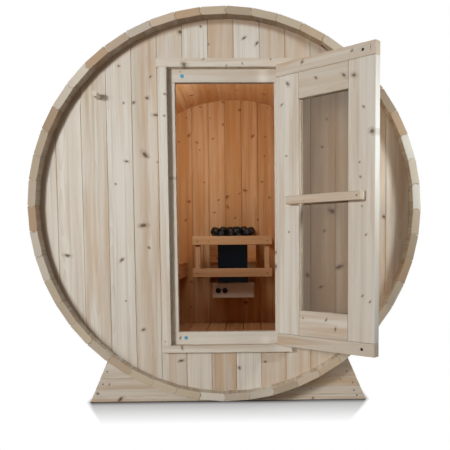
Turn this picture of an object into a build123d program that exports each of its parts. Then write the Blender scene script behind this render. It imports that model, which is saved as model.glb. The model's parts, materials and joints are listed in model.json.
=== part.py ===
from build123d import *
import os
from math import cos, radians, sin, sqrt, tan

# Barrel sauna: a horizontal barrel of cedar staves on two cradles, with a glazed door in the
# front wall, a bench along each side and a stone heater behind a guard rail at the back.
# Millimetres, +Z up, front wall towards -Y. The origin is on the ground under the middle of
# the front cradle. Depths named y are counted from the front stave ends, heights named z
# from the barrel's axis, and widths named x from its middle, unless a comment says otherwise.

# Staves
inside_radius = 914.5
stave_thickness = 38.0
stave_count = 48
staves_per_segment = 6
stave_turn = -1.0
stave_bevel = 3.0
bead_radius = 14.0
bead_depth = 6.0
barrel_length = 1829.0

# Clearances between pieces that seat on each other
seat_gap = 0.3

# End walls of upright tongue and groove boards, held in a groove around the staves
wall_recess = 67.0
wall_thickness = 38.0
wall_groove_depth = 10.0
board_pitch = 125.0
board_joint_x = 46.0
board_bevel = 3.0

# Doorway, its frame inside the wall and the casings in front of it. The headroom is left
# between the opening and the staves, above it and below it.
opening_width = 486.0
opening_headroom = 300.0
jamb_width = 35.0
head_height = 63.5
casing_width = 41.0
casing_thickness = 38.0
sill_casing_height = 36.0
head_casing_overhang = 8.0
sill_casing_flare = 6.0

# Door leaf
leaf_thickness = 38.0
leaf_stop_gap = 5.0
leaf_edge_gap = 5.0
leaf_free_gap = 7.0
stile_width = 136.0
cap_height = 60.0
rail_height = 119.0
glass_thickness = 5.0
glass_rebate = 10.0
door_open_angle = 138.0

# Pull bars, one on each face of the leaf, and how far they reach onto the two stiles
pull_hinge_reach = 46.0
pull_free_reach = 92.0
pull_height = 38.0
pull_thickness = 20.0
pull_standoff = 25.0
pull_block = 40.0
pull_z = 27.0

# Butt hinges, the outer ones set in from the ends of the leaf
hinge_count = 3
hinge_inset = 153.0
hinge_length = 100.0
hinge_flap = 40.0
hinge_plate = 2.0
hinge_pin_radius = 3.0
knuckle_radius = 6.0
knuckle_gap = 0.5
knuckle_setback = 7.0

# Magnet catches on the frame, set in from the opening's side and out from its top and bottom,
# and their strikes in the leaf
catch_inset = 36.0
catch_rise = 29.0
catch_radius = 9.0
catch_depth = 3.0
strike_radius = 7.0
strike_recess = 8.0

# Floor, raised above the lowest stave
floor_rise = 140.5
floor_board_thickness = 20.0
floor_board_count = 7
floor_board_gap = 5.0
floor_bearer_count = 4
floor_bearer_thickness = 38.0
end_gap = 2.0

# Benches
bench_front_x = 365.0
bench_top_z = -304.0
bench_slat_count = 5
bench_slat_gap = 12.0
bench_slat_thickness = 23.0
apron_height = 84.0
apron_thickness = 23.0
bench_support_count = 3
bench_support_thickness = 38.0
bench_side_gap = 3.0

# Stone heater on the back wall
heater_x = -8.0
heater_width = 340.0
heater_depth = 225.0
heater_face_width = 214.0
heater_corner_depth = 70.0
heater_top_z = -118.0
heater_bottom_z = -456.0
heater_sheet = 4.0
stone_bed_depth = 180.0
stone_heap = 78.0
bracket_thickness = 30.0
bracket_width = 240.0
bracket_height = 280.0
box_width = 306.0
box_height = 108.0
box_depth = 190.0
knob_radius = 19.0
knob_height = 16.0
knob_inset = 43.0
knob_spacing = 50.0

# Guard rail around the heater
guard_width = 568.0
guard_depth = 340.0
guard_top_z = -113.0
guard_rail_height = 62.0
guard_rail_gap = 168.0
guard_rail_thickness = 19.0
guard_post = 35.0

# Cradles
cradle_inset = 160.0
cradle_thickness = 90.0
cradle_half_width = 718.0
cradle_end_slope = 23.4
cradle_height = 240.0
cradle_courses = (30.0, 68.0, 123.0)
cradle_bevel = 2.0
ground_clearance = 37.5

# Steel bands
band_inset = 420.0
band_width = 22.0
band_thickness = 1.5
band_lug_stave = 16
band_lug_height = 28.0
band_lug_thickness = 4.0
band_lug_gap = 26.0
band_bolt_radius = 4.0
band_nut_across = 13.0
band_nut_height = 6.0

# Peg on the front wall, set in from the staves, its place turned to the left from the top
peg_inset = 91.3
peg_turn = 48.5
peg_radius = 13.0
peg_length = 75.0

# Sizes worked out from the ones above
outer_radius = inside_radius + stave_thickness
stave_angle = 360.0 / stave_count
half_stave = radians(stave_angle) / 2
corner_radius = outer_radius / cos(half_stave)
segment_count = stave_count // staves_per_segment
axis_z = outer_radius + ground_clearance
front_y = -(cradle_inset + cradle_thickness / 2)
wall_radius = inside_radius + wall_groove_depth - seat_gap
wall_back = wall_recess + wall_thickness
rear_wall_front = barrel_length - wall_back
opening_height = 2 * (inside_radius - opening_headroom)
frame_half_width = opening_width / 2 + jamb_width
frame_half_height = opening_height / 2 + head_height
casing_front = wall_recess - casing_thickness
leaf_back = wall_recess - leaf_stop_gap
leaf_front = leaf_back - leaf_thickness
pin_x = frame_half_width - leaf_edge_gap / 2
pin_y = leaf_front - knuckle_setback
leaf_start = leaf_edge_gap / 2
leaf_width = 2 * frame_half_width - leaf_edge_gap - leaf_free_gap
leaf_half_height = frame_half_height - leaf_edge_gap
catch_x = opening_width / 2 - catch_inset
catch_z = opening_height / 2 + catch_rise
floor_z = floor_rise - inside_radius


def across(y):
    """Upright plane across the barrel at depth y; its x is width and its y is height."""
    return Plane(origin=(0, front_y + y, axis_z), x_dir=(1, 0, 0), z_dir=(0, -1, 0))


def level(z):
    """Level plane at height z; its x is width and its y is depth."""
    return Plane(origin=(0, front_y, axis_z + z), x_dir=(1, 0, 0), z_dir=(0, 0, 1))


def leaf_face(depth):
    """Plane along the open leaf, depth behind the pin; its x runs from the pin to the free edge."""
    turn = radians(door_open_angle)
    along = (-cos(turn), -sin(turn), 0)
    inward = (-sin(turn), cos(turn), 0)
    pin = Vector(pin_x, front_y + pin_y, axis_z)
    return Plane(origin=pin + Vector(*inward) * depth, x_dir=along, z_dir=inward)


def leaf_level(z):
    """Level plane through the pin; its x runs along the open leaf, its y towards the outside."""
    turn = radians(door_open_angle)
    origin = (pin_x, front_y + pin_y, axis_z + z)
    return Plane(origin=origin, x_dir=(-cos(turn), -sin(turn), 0), z_dir=(0, 0, 1))


def board(x, y, z):
    """Square-edged board between the two widths x, depths y and heights z."""
    with BuildSketch(across(y[0])) as face:
        with Locations(((x[0] + x[1]) / 2, (z[0] + z[1]) / 2)):
            Rectangle(x[1] - x[0], z[1] - z[0])
    extrude(face.sketch, amount=-(y[1] - y[0]))


def leaf_board(x, depth, z):
    """Board of the leaf: x from the pin, depth behind the pin and height z."""
    with BuildSketch(leaf_face(depth[0])) as face:
        with Locations(((x[0] + x[1]) / 2, (z[0] + z[1]) / 2)):
            Rectangle(x[1] - x[0], z[1] - z[0])
    extrude(face.sketch, amount=depth[1] - depth[0])


def write(piece, name):
    """Label a finished piece and write its file."""
    piece.part.label = name
    export_step(piece.part, f"parts/{name}.step")


def board_joints(low, high):
    """Widths at which the upright boards of an end wall meet, between low and high."""
    first = int((low - board_joint_x) // board_pitch) + 1
    last = int((high - board_joint_x) // board_pitch)
    joints = [board_joint_x + board_pitch * n for n in range(first, last + 1)]
    return [x for x in joints if low + board_bevel < x < high - board_bevel]


def cut_board_joints(low, high, front, back):
    """Bevel the board edges on both faces of an end wall."""
    spots = [(x, y) for x in board_joints(low, high) for y in (front, back)]
    with BuildSketch(level(-wall_radius)) as bevels:
        with Locations(*spots):
            Rectangle(board_bevel * sqrt(2), board_bevel * sqrt(2), rotation=45)
    extrude(bevels.sketch, amount=2 * wall_radius, mode=Mode.SUBTRACT)


def inside_half_width(z):
    """Half the clear width of the barrel at height z."""
    return sqrt(inside_radius**2 - z**2)


def spread(count, low, high):
    """Even places from low to high."""
    return [low + (high - low) * n / (count - 1) for n in range(count)]


os.makedirs("parts", exist_ok=True)

# Staves: each segment is six staves side by side, bevelled along their joints. A bead on one
# side of the segment fits a cove in the next, and a flat-bottomed groove across each stave near
# its ends holds the end wall.
inner_half = inside_radius * tan(half_stave)
outer_half = outer_radius * tan(half_stave)
inner_shoulder = (inside_radius + stave_bevel) * tan(half_stave)
outer_shoulder = (outer_radius - stave_bevel) * tan(half_stave)
stave_side = [
    (inner_half - stave_bevel, inside_radius),
    (inner_shoulder, inside_radius + stave_bevel),
    (outer_shoulder, outer_radius - stave_bevel),
    (outer_half - stave_bevel, outer_radius),
]
stave_profile = stave_side + [(-x, r) for x, r in reversed(stave_side)]
bead_centre = (bead_radius - bead_depth, inside_radius + stave_thickness / 2)

for n in range(segment_count):
    start = stave_turn + n * staves_per_segment * stave_angle
    end = start + staves_per_segment * stave_angle
    with BuildPart() as staves:
        with BuildSketch(across(0)):
            for i in range(staves_per_segment):
                Polygon(*stave_profile, rotation=start + (i + 0.5) * stave_angle, align=None)
            with Locations(Location((0, 0, 0), (0, 0, end))):
                with Locations(bead_centre):
                    Circle(bead_radius)
            with Locations(Location((0, 0, 0), (0, 0, start))):
                with Locations(bead_centre):
                    Circle(bead_radius + seat_gap, mode=Mode.SUBTRACT)
        extrude(amount=-barrel_length)
        for front in (wall_recess, rear_wall_front):
            with BuildSketch(across(front)):
                RegularPolygon(inside_radius + wall_groove_depth, stave_count, major_radius=False,
                               rotation=stave_turn)
            extrude(amount=-wall_thickness, mode=Mode.SUBTRACT)
    write(staves, f"staves_{n + 1}")

# Front wall: boards beside, over and under the doorway
wall_parts = {
    "front_wall_left": (-wall_radius, -frame_half_width, -wall_radius, wall_radius),
    "front_wall_right": (frame_half_width, wall_radius, -wall_radius, wall_radius),
    "front_wall_over_door": (-frame_half_width, frame_half_width, frame_half_height, wall_radius),
    "front_wall_under_door": (-frame_half_width, frame_half_width, -wall_radius, -frame_half_height),
}
for name, (left, right, low, high) in wall_parts.items():
    with BuildPart() as front_wall:
        with BuildSketch(across(wall_recess)):
            Circle(wall_radius)
            with Locations(((left + right) / 2, (low + high) / 2)):
                Rectangle(right - left, high - low, mode=Mode.INTERSECT)
        extrude(amount=-wall_thickness)
        cut_board_joints(left, right, wall_recess, wall_back)
    write(front_wall, name)

# Back wall: the whole round of boards
with BuildPart() as back_wall:
    with BuildSketch(across(rear_wall_front)):
        Circle(wall_radius)
    extrude(amount=-wall_thickness)
    cut_board_joints(-wall_radius, wall_radius, rear_wall_front, rear_wall_front + wall_thickness)
write(back_wall, "back_wall")

# Doorway frame: the head and sill run over the ends of the jambs and the leaf closes against all
frame_depth = (wall_recess, wall_back)
with BuildPart() as jambs:
    for side in (-1, 1):
        edges = sorted((side * opening_width / 2, side * frame_half_width))
        board(edges, frame_depth, (-opening_height / 2, opening_height / 2))
write(jambs, "door_jambs")

with BuildPart() as frame_head:
    board((-frame_half_width, frame_half_width), frame_depth, (opening_height / 2, frame_half_height))
write(frame_head, "frame_head")

with BuildPart() as frame_sill:
    board((-frame_half_width, frame_half_width), frame_depth, (-frame_half_height, -opening_height / 2))
write(frame_sill, "frame_sill")

# Casings: trim boards on the wall around the leaf
casing_depth = (casing_front, wall_recess)
casing_outer = frame_half_width + casing_width
with BuildPart() as side_casings:
    for side in (-1, 1):
        edges = sorted((side * frame_half_width, side * casing_outer))
        board(edges, casing_depth, (-frame_half_height, frame_half_height))
write(side_casings, "side_casings")

head_casing_half = casing_outer + head_casing_overhang
with BuildPart() as head_casing:
    board((-head_casing_half, head_casing_half), casing_depth,
          (frame_half_height, frame_half_height + casing_width))
write(head_casing, "head_casing")

with BuildPart() as sill_casing:
    with BuildSketch(across(casing_front)):
        Polygon((-casing_outer, -frame_half_height), (casing_outer, -frame_half_height),
                (casing_outer + sill_casing_flare, -frame_half_height - sill_casing_height),
                (-casing_outer - sill_casing_flare, -frame_half_height - sill_casing_height),
                align=None)
    extrude(amount=-casing_thickness)
write(sill_casing, "sill_casing")

# Door leaf, standing open: caps across the top and bottom, stiles, rails and a pane between them
leaf_depth = (knuckle_setback, knuckle_setback + leaf_thickness)
leaf_end = leaf_start + leaf_width
stile_half_height = leaf_half_height - cap_height
glass_half_height = stile_half_height - rail_height
glass_edges = (leaf_start + stile_width, leaf_end - stile_width)
leaf_middle = (glass_edges[0] + glass_edges[1]) / 2
glass_width = glass_edges[1] - glass_edges[0]
pane_depth = knuckle_setback + leaf_thickness / 2
rebate = glass_rebate + seat_gap


def cut_pane_groove():
    """Groove that holds the pane, around the opening of the leaf."""
    with BuildSketch(leaf_face(pane_depth - glass_thickness / 2 - seat_gap)) as groove:
        with Locations((leaf_middle, 0)):
            Rectangle(glass_width + 2 * rebate, 2 * (glass_half_height + rebate))
    extrude(groove.sketch, amount=glass_thickness + 2 * seat_gap, mode=Mode.SUBTRACT)


with BuildPart() as stiles:
    for edges in ((leaf_start, glass_edges[0]), (glass_edges[1], leaf_end)):
        leaf_board(edges, leaf_depth, (-stile_half_height, stile_half_height))
    cut_pane_groove()
write(stiles, "door_stiles")

with BuildPart() as rails:
    for low, high in ((glass_half_height, stile_half_height), (-stile_half_height, -glass_half_height)):
        leaf_board(glass_edges, leaf_depth, (low, high))
    cut_pane_groove()
write(rails, "door_rails")

# The strikes sit in round recesses in the inner face of the caps, opposite the catches
strike_x = pin_x + catch_x
inner_face = leaf_depth[1]
with BuildPart() as caps:
    for low, high in ((stile_half_height, leaf_half_height), (-leaf_half_height, -stile_half_height)):
        leaf_board((leaf_start, leaf_end), leaf_depth, (low, high))
    with BuildSketch(leaf_face(inner_face)):
        with Locations((strike_x, catch_z), (strike_x, -catch_z)):
            Circle(strike_radius)
    extrude(amount=-strike_recess, mode=Mode.SUBTRACT)
write(caps, "door_caps")

with BuildPart() as strikes:
    with BuildSketch(leaf_face(inner_face - strike_recess)):
        with Locations((strike_x, catch_z), (strike_x, -catch_z)):
            Circle(strike_radius - seat_gap)
    extrude(amount=catch_depth)
write(strikes, "door_strikes")

with BuildPart() as catches:
    with BuildSketch(across(wall_recess)):
        with Locations((-catch_x, catch_z), (-catch_x, -catch_z)):
            Circle(catch_radius)
    extrude(amount=catch_depth)
write(catches, "frame_catches")

with BuildPart() as glass:
    with BuildSketch(leaf_face(pane_depth - glass_thickness / 2)):
        with Locations((leaf_middle, 0)):
            Rectangle(glass_width + 2 * glass_rebate, 2 * (glass_half_height + glass_rebate))
    extrude(amount=glass_thickness)
write(glass, "door_glass")

# Pull bars: a flat bar that stands off the leaf on a block at each end
pull_ends = (glass_edges[0] - pull_hinge_reach, glass_edges[1] + pull_free_reach)
pull_heights = (pull_z - pull_height / 2, pull_z + pull_height / 2)
with BuildPart() as pulls:
    for face, outward in ((leaf_depth[1], 1), (leaf_depth[0], -1)):
        stand = sorted((face, face + outward * pull_standoff))
        bar = sorted((face + outward * pull_standoff, face + outward * (pull_standoff + pull_thickness)))
        leaf_board(pull_ends, bar, pull_heights)
        leaf_board((pull_ends[0], pull_ends[0] + pull_block), stand, pull_heights)
        leaf_board((pull_ends[1] - pull_block, pull_ends[1]), stand, pull_heights)
write(pulls, "door_pulls")

# Hinges: two end knuckles, the pin and a flap on the casing; one middle knuckle and a flap on
# the leaf. The flaps lie on the front faces.
hinge_heights = spread(hinge_count, hinge_inset - leaf_half_height, leaf_half_height - hinge_inset)
knuckle_length = (hinge_length - 2 * knuckle_gap) / 3
flap_start = knuckle_radius - hinge_plate
leaf_flap_start = knuckle_radius + knuckle_gap
leaf_web_end = leaf_flap_start + hinge_plate
with BuildPart() as frame_hinges:
    for z in hinge_heights:
        ends = (z - hinge_length / 2, z + hinge_length / 2 - knuckle_length)
        for low in ends:
            with BuildSketch(level(low)):
                with Locations((pin_x, pin_y)):
                    Circle(knuckle_radius)
                with Locations((pin_x + flap_start, (pin_y + casing_front) / 2)):
                    Rectangle(2 * hinge_plate, casing_front - pin_y)
            extrude(amount=knuckle_length)
        with BuildSketch(level(z - hinge_length / 2)):
            with Locations((pin_x, pin_y)):
                Circle(hinge_pin_radius)
            with Locations((pin_x + flap_start + hinge_flap / 2, casing_front - hinge_plate / 2)):
                Rectangle(hinge_flap, hinge_plate)
        extrude(amount=hinge_length)
write(frame_hinges, "frame_hinges")

with BuildPart() as door_hinges:
    for z in hinge_heights:
        with BuildSketch(leaf_level(z - knuckle_length / 2)):
            Circle(knuckle_radius)
            with Locations(((hinge_plate + leaf_web_end) / 2, -knuckle_setback / 2)):
                Rectangle(leaf_web_end - hinge_plate, knuckle_setback)
            Circle(hinge_pin_radius + seat_gap, mode=Mode.SUBTRACT)
        extrude(amount=knuckle_length)
        with BuildSketch(leaf_level(z - hinge_length / 2)):
            with Locations((leaf_flap_start + hinge_flap / 2, -knuckle_setback + hinge_plate / 2)):
                Rectangle(hinge_flap, hinge_plate)
        extrude(amount=hinge_length)
write(door_hinges, "door_hinges")

# Floor: boards along the barrel on bearers shaped to its curve
cabin_front = wall_back
cabin_back = rear_wall_front
floor_bottom_z = floor_z - floor_board_thickness
floor_half = inside_half_width(floor_bottom_z) - bench_side_gap
floor_board_width = (2 * floor_half - (floor_board_count - 1) * floor_board_gap) / floor_board_count
with BuildPart() as floor_boards:
    for n in range(floor_board_count):
        left = -floor_half + n * (floor_board_width + floor_board_gap)
        board((left, left + floor_board_width), (cabin_front + end_gap, cabin_back - end_gap),
              (floor_bottom_z, floor_z))
write(floor_boards, "floor_boards")

with BuildPart() as floor_bearers:
    for y in spread(floor_bearer_count, cabin_front, cabin_back - floor_bearer_thickness):
        with BuildSketch(across(y)):
            Circle(inside_radius - seat_gap)
            with Locations((0, floor_bottom_z)):
                Rectangle(2 * outer_radius, outer_radius, align=(Align.CENTER, Align.MAX),
                          mode=Mode.INTERSECT)
        extrude(amount=-floor_bearer_thickness)
write(floor_bearers, "floor_bearers")

# Benches: slats along the barrel, an apron under the front slat and supports to the staves
slat_bottom_z = bench_top_z - bench_slat_thickness
apron_bottom_z = slat_bottom_z - apron_height
bench_back_x = inside_half_width(slat_bottom_z) - bench_side_gap
slat_width = (bench_back_x - bench_front_x - (bench_slat_count - 1) * bench_slat_gap) / bench_slat_count
support_start_x = bench_front_x + apron_thickness
bench_ends = (cabin_front, cabin_back)
for side, side_name in ((-1, "left"), (1, "right")):
    with BuildPart() as bench_slats:
        for n in range(bench_slat_count):
            near = bench_front_x + n * (slat_width + bench_slat_gap)
            edges = sorted((side * near, side * (near + slat_width)))
            board(edges, bench_ends, (slat_bottom_z, bench_top_z))
    write(bench_slats, f"bench_{side_name}_slats")

    with BuildPart() as bench_apron:
        edges = sorted((side * bench_front_x, side * support_start_x))
        board(edges, bench_ends, (apron_bottom_z, slat_bottom_z))
    write(bench_apron, f"bench_{side_name}_apron")

    with BuildPart() as bench_supports:
        for y in spread(bench_support_count, cabin_front, cabin_back - bench_support_thickness):
            with BuildSketch(across(y)):
                Circle(inside_radius - seat_gap)
                with Locations((side * (support_start_x + outer_radius / 2),
                                (slat_bottom_z + apron_bottom_z) / 2)):
                    Rectangle(outer_radius, apron_height, mode=Mode.INTERSECT)
            extrude(amount=-bench_support_thickness)
    write(bench_supports, f"bench_{side_name}_supports")

# Stone heater: a sheet-steel casing with a faceted front, open at the top over its bed of
# stones, on a bracket on the back wall, with the control box under it
heater_back = rear_wall_front - bracket_thickness
heater_front = heater_back - heater_depth
heater_plan = [
    (heater_x - heater_width / 2, heater_back),
    (heater_x - heater_width / 2, heater_front + heater_corner_depth),
    (heater_x - heater_face_width / 2, heater_front),
    (heater_x + heater_face_width / 2, heater_front),
    (heater_x + heater_width / 2, heater_front + heater_corner_depth),
    (heater_x + heater_width / 2, heater_back),
]
stone_floor_z = heater_top_z - stone_bed_depth
with BuildPart() as heater_casing:
    with BuildSketch(level(heater_bottom_z)):
        Polygon(*heater_plan, align=None)
    extrude(amount=heater_top_z - heater_bottom_z)
    with BuildSketch(level(stone_floor_z)):
        Polygon(*heater_plan, align=None)
        offset(amount=-heater_sheet, kind=Kind.INTERSECTION, mode=Mode.REPLACE)
    extrude(amount=stone_bed_depth, mode=Mode.SUBTRACT)
write(heater_casing, "heater_casing")

with BuildPart() as heater_stones:
    with BuildSketch(level(stone_floor_z)):
        Polygon(*heater_plan, align=None)
        offset(amount=-(heater_sheet + seat_gap), kind=Kind.INTERSECTION, mode=Mode.REPLACE)
    extrude(amount=stone_bed_depth)
    extrude(heater_stones.faces().sort_by(Axis.Z)[-1], amount=stone_heap, taper=28)
write(heater_stones, "heater_stones")

bracket_top_z = heater_top_z - (heater_top_z - heater_bottom_z - bracket_height) / 2
with BuildPart() as heater_bracket:
    board((heater_x - bracket_width / 2, heater_x + bracket_width / 2), (heater_back, rear_wall_front),
          (bracket_top_z - bracket_height, bracket_top_z))
write(heater_bracket, "heater_bracket")

box_front = heater_back - box_depth
box_bottom_z = heater_bottom_z - box_height
with BuildPart() as control_box:
    board((heater_x - box_width / 2, heater_x + box_width / 2), (box_front, heater_back),
          (box_bottom_z, heater_bottom_z))
write(control_box, "control_box")

knob_z = (box_bottom_z + heater_bottom_z) / 2
knob_x = heater_x - box_width / 2 + knob_inset
with BuildPart() as control_knobs:
    with BuildSketch(across(box_front)):
        with Locations((knob_x, knob_z), (knob_x + knob_spacing, knob_z)):
            Circle(knob_radius)
    extrude(amount=knob_height)
write(control_knobs, "control_knobs")

# Guard rail: two rails in front, two on each side, screwed to four posts
guard_half = guard_width / 2
guard_front_y = cabin_back - guard_depth
post_front = guard_front_y + guard_rail_thickness
rail_levels = (guard_top_z, guard_top_z - guard_rail_height - guard_rail_gap)
guard_bottom_z = rail_levels[1] - guard_rail_height
post_outer = guard_half - guard_rail_thickness
with BuildPart() as guard_front_rails:
    for top in rail_levels:
        board((heater_x - guard_half, heater_x + guard_half), (guard_front_y, post_front),
              (top - guard_rail_height, top))
write(guard_front_rails, "guard_front_rails")

with BuildPart() as guard_side_rails:
    for top in rail_levels:
        for side in (-1, 1):
            edges = sorted((heater_x + side * post_outer, heater_x + side * guard_half))
            board(edges, (post_front, cabin_back), (top - guard_rail_height, top))
write(guard_side_rails, "guard_side_rails")

with BuildPart() as guard_posts:
    for front in (post_front, cabin_back - guard_post):
        for side in (-1, 1):
            edges = sorted((heater_x + side * (post_outer - guard_post), heater_x + side * post_outer))
            board(edges, (front, front + guard_post), (guard_bottom_z, guard_top_z))
write(guard_posts, "guard_posts")

# Cradles: stacked planks with sloped ends, hollowed on top to carry the barrel
cradle_top_half = cradle_half_width - cradle_height * tan(radians(cradle_end_slope))
cradle_fronts = {"cradle_front": cradle_inset,
                 "cradle_rear": barrel_length - cradle_inset - cradle_thickness}
for name, y in cradle_fronts.items():
    with BuildPart() as cradle:
        with BuildSketch(across(y)):
            Polygon((-cradle_half_width, -axis_z), (cradle_half_width, -axis_z),
                    (cradle_top_half, cradle_height - axis_z), (-cradle_top_half, cradle_height - axis_z),
                    align=None)
            Circle(corner_radius + seat_gap, mode=Mode.SUBTRACT)
        extrude(amount=-cradle_thickness)
        with BuildSketch(Plane.YZ.offset(-cradle_half_width)):
            for face in (front_y + y, front_y + y + cradle_thickness):
                with Locations(*[(face, course) for course in cradle_courses]):
                    Rectangle(cradle_bevel * sqrt(2), cradle_bevel * sqrt(2), rotation=45)
        extrude(amount=2 * cradle_half_width, mode=Mode.SUBTRACT)
    write(cradle, name)

# Steel bands: a flat strap around the staves, drawn tight by a bolt with a hexagon head and nut
# through two upturned lugs
band_outer = outer_radius + band_thickness
band_lug_turn = stave_turn + (band_lug_stave + 0.5) * stave_angle
lug_top = outer_radius + band_lug_height
with BuildPart() as bands:
    for y in (band_inset, barrel_length - band_inset - band_width):
        with BuildSketch(across(y)):
            RegularPolygon(band_outer, stave_count, major_radius=False, rotation=stave_turn)
            RegularPolygon(outer_radius, stave_count, major_radius=False, rotation=stave_turn,
                           mode=Mode.SUBTRACT)
            with Locations(Location((0, 0, 0), (0, 0, band_lug_turn))):
                with Locations((0, outer_radius)):
                    Rectangle(band_lug_gap, band_lug_height, mode=Mode.SUBTRACT)
                for side in (-1, 1):
                    with Locations((side * (band_lug_gap + band_lug_thickness) / 2,
                                    (outer_radius + lug_top) / 2)):
                        Rectangle(band_lug_thickness, band_lug_height)
        extrude(amount=-band_width)
        turn = radians(band_lug_turn)
        tangent = Vector(cos(turn), 0, sin(turn))
        radial = Vector(-sin(turn), 0, cos(turn))
        bolt_mid = Vector(0, front_y + y + band_width / 2, axis_z) + radial * (lug_top - band_lug_height / 2)
        bolt_half = band_lug_gap / 2
        with BuildSketch(Plane(origin=bolt_mid - tangent * bolt_half, x_dir=(0, 1, 0), z_dir=tangent)):
            Circle(band_bolt_radius)
        extrude(amount=2 * bolt_half)
        nut_start = bolt_half + band_lug_thickness
        for way in (tangent, tangent * -1):
            with BuildSketch(Plane(origin=bolt_mid + way * nut_start, x_dir=(0, 1, 0), z_dir=way)):
                RegularPolygon(band_nut_across / 2, 6, major_radius=False)
            extrude(amount=band_nut_height)
write(bands, "bands")

# Peg: a plain round peg
peg_reach = inside_radius - peg_inset
peg_place = (-peg_reach * sin(radians(peg_turn)), peg_reach * cos(radians(peg_turn)))
with BuildPart() as peg:
    with BuildSketch(across(wall_recess)):
        with Locations(peg_place):
            Circle(peg_radius)
    extrude(amount=peg_length)
write(peg, "wall_peg")
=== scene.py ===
import json
import math
import random
from contextlib import contextmanager

import bmesh
import bpy
import numpy as np
from mathutils import Matrix, Vector


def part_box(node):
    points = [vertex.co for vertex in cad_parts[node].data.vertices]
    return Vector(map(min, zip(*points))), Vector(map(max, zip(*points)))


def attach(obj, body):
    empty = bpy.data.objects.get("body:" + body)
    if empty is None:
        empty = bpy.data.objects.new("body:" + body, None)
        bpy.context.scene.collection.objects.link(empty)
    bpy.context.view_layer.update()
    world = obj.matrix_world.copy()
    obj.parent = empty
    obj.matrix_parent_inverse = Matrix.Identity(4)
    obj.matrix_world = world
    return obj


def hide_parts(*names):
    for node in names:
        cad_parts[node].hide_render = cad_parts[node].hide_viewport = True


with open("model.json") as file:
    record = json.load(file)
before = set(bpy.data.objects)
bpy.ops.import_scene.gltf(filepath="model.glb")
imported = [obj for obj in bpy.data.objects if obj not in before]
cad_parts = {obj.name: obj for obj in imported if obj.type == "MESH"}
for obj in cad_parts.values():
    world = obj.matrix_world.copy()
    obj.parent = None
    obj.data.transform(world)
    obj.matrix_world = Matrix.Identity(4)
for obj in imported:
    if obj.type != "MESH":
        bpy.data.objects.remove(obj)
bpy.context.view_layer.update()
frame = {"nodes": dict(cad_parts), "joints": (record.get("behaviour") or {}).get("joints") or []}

bl_info = {
    "name": "Barrel sauna",
    "version": (1, 0, 0),
    "blender": (4, 5, 0),
    "location": "3D View > Sidebar > Sauna",
    "description": "Boards, heater, fittings and stage of a barrel sauna around its CAD frame",
    "category": "Add Mesh",
}

# Where the barrel and the leaf's hinge are, in metres
STAVE_NODES = [f"staves_{n}" for n in range(1, 9)]
STAVE_BOXES = [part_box(name) for name in STAVE_NODES]
FRONT = min(low.y for low, high in STAVE_BOXES)
BACK = max(high.y for low, high in STAVE_BOXES)
AXIS = (min(low.z for low, high in STAVE_BOXES) + max(high.z for low, high in STAVE_BOXES)) / 2
HINGE = frame["joints"][0]
PIN = Vector((*HINGE["pos_m"][:2], AXIS))
OPEN_ANGLE = math.radians(-HINGE["range_deg"][0])
MM = 0.001
UP = Vector((0, 0, 1))
FORWARD = (0, -1, 0)


class Place:
    """A point to measure from, with the directions of width and depth."""

    def __init__(self, origin, width=(1, 0, 0), depth=(0, 1, 0)):
        self.origin, self.width, self.depth = Vector(origin), Vector(width), Vector(depth)

    def at(self, point):
        """The world point, in metres, of a place given in millimetres."""
        x, y, z = point
        return self.origin + (self.width * x + self.depth * y + UP * z) * MM


BARREL = Place((0, FRONT, AXIS))
STAVE_PLACE = Place((0, FRONT, 0))
LEAF = Place(PIN, (-math.cos(OPEN_ANGLE), -math.sin(OPEN_ANGLE), 0),
             (-math.sin(OPEN_ANGLE), math.cos(OPEN_ANGLE), 0))


def span(box):
    """A box in metres as its widths, depths and heights in millimetres from the barrel's place."""
    return [((low - start) * 1000, (high - start) * 1000)
            for low, high, start in zip(*box, (0, FRONT, AXIS))]


def sides(node, axis):
    """Where a CAD node starts and ends along an axis, in millimetres to a tenth."""
    return [round(side, 1) for side in span(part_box(node))["xyz".index(axis)]]


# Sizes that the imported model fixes, in millimetres from the barrel's front end and its axis
WALL_FRONT, WALL_BACK = sides("front_wall_left", "y")
REAR_FRONT, REAR_BACK = sides("back_wall", "y")
FRAME_X = sides("front_wall_right", "x")[0]
JAMB_WIDTH = 35.0
OPENING_X = FRAME_X - JAMB_WIDTH
OPENING_Z, FRAME_Z = sides("frame_head", "z")
CASING_X = sides("side_casings", "x")[1]
CASING_DEPTH = sides("side_casings", "y")
CATCH_X, CATCH_Z = -207.0, 643.5
LEAF_DEPTH = (7.0, 45.0)
STRIKE_X = 482.5
PULL_STAND_OFF, PULL_THICK = 25, 20

# Lightness and warmth of the front wall's boards from the left, both from 0 to 1. The dark tenth to
# twelfth boards, over and right of the doorway, are partly their wood and partly painted shade
FRONT_TONES = ((0.7, 0.3), (0.8, 0.2), (0.55, 0.5), (0.8, 0.15), (0.5, 0.6), (0.6, 0.4),
               (0.85, 0.15), (0.1, 0.95), (1.0, 0.0), (0.1, 0.75), (0.05, 0.75), (0.1, 0.7),
               (0.4, 0.5), (0.1, 1.0), (0.4, 0.6))
# The front wall's larger knots: place across and up from the middle, and radius
FRONT_KNOTS = ((-788, -226, 7), (-640, 555, 3), (-542, 124, 4), (-514, 693, 4), (-494, 516, 4),
               (-486, 234, 5), (-445, 518, 6), (-394, 265, 9), (-379, 540, 7), (-360, 642, 4),
               (-337, 458, 6), (-329, 230, 4), (-213, 854, 10), (-113, 880, 5), (-78, 794, 4),
               (98, 825, 5), (160, 800, 5), (-410, -80, 9), (-520, -250, 6), (-505, -455, 3),
               (-385, -190, 5), (-420, -600, 6), (-233, -760, 6), (60, -800, 6), (190, -770, 5),
               (503, 436, 4), (480, 300, 5), (528, -15, 11), (490, -114, 5), (565, -294, 9),
               (407, -333, 9), (472, -394, 5), (788, -46, 8), (700, 260, 5))
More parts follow.
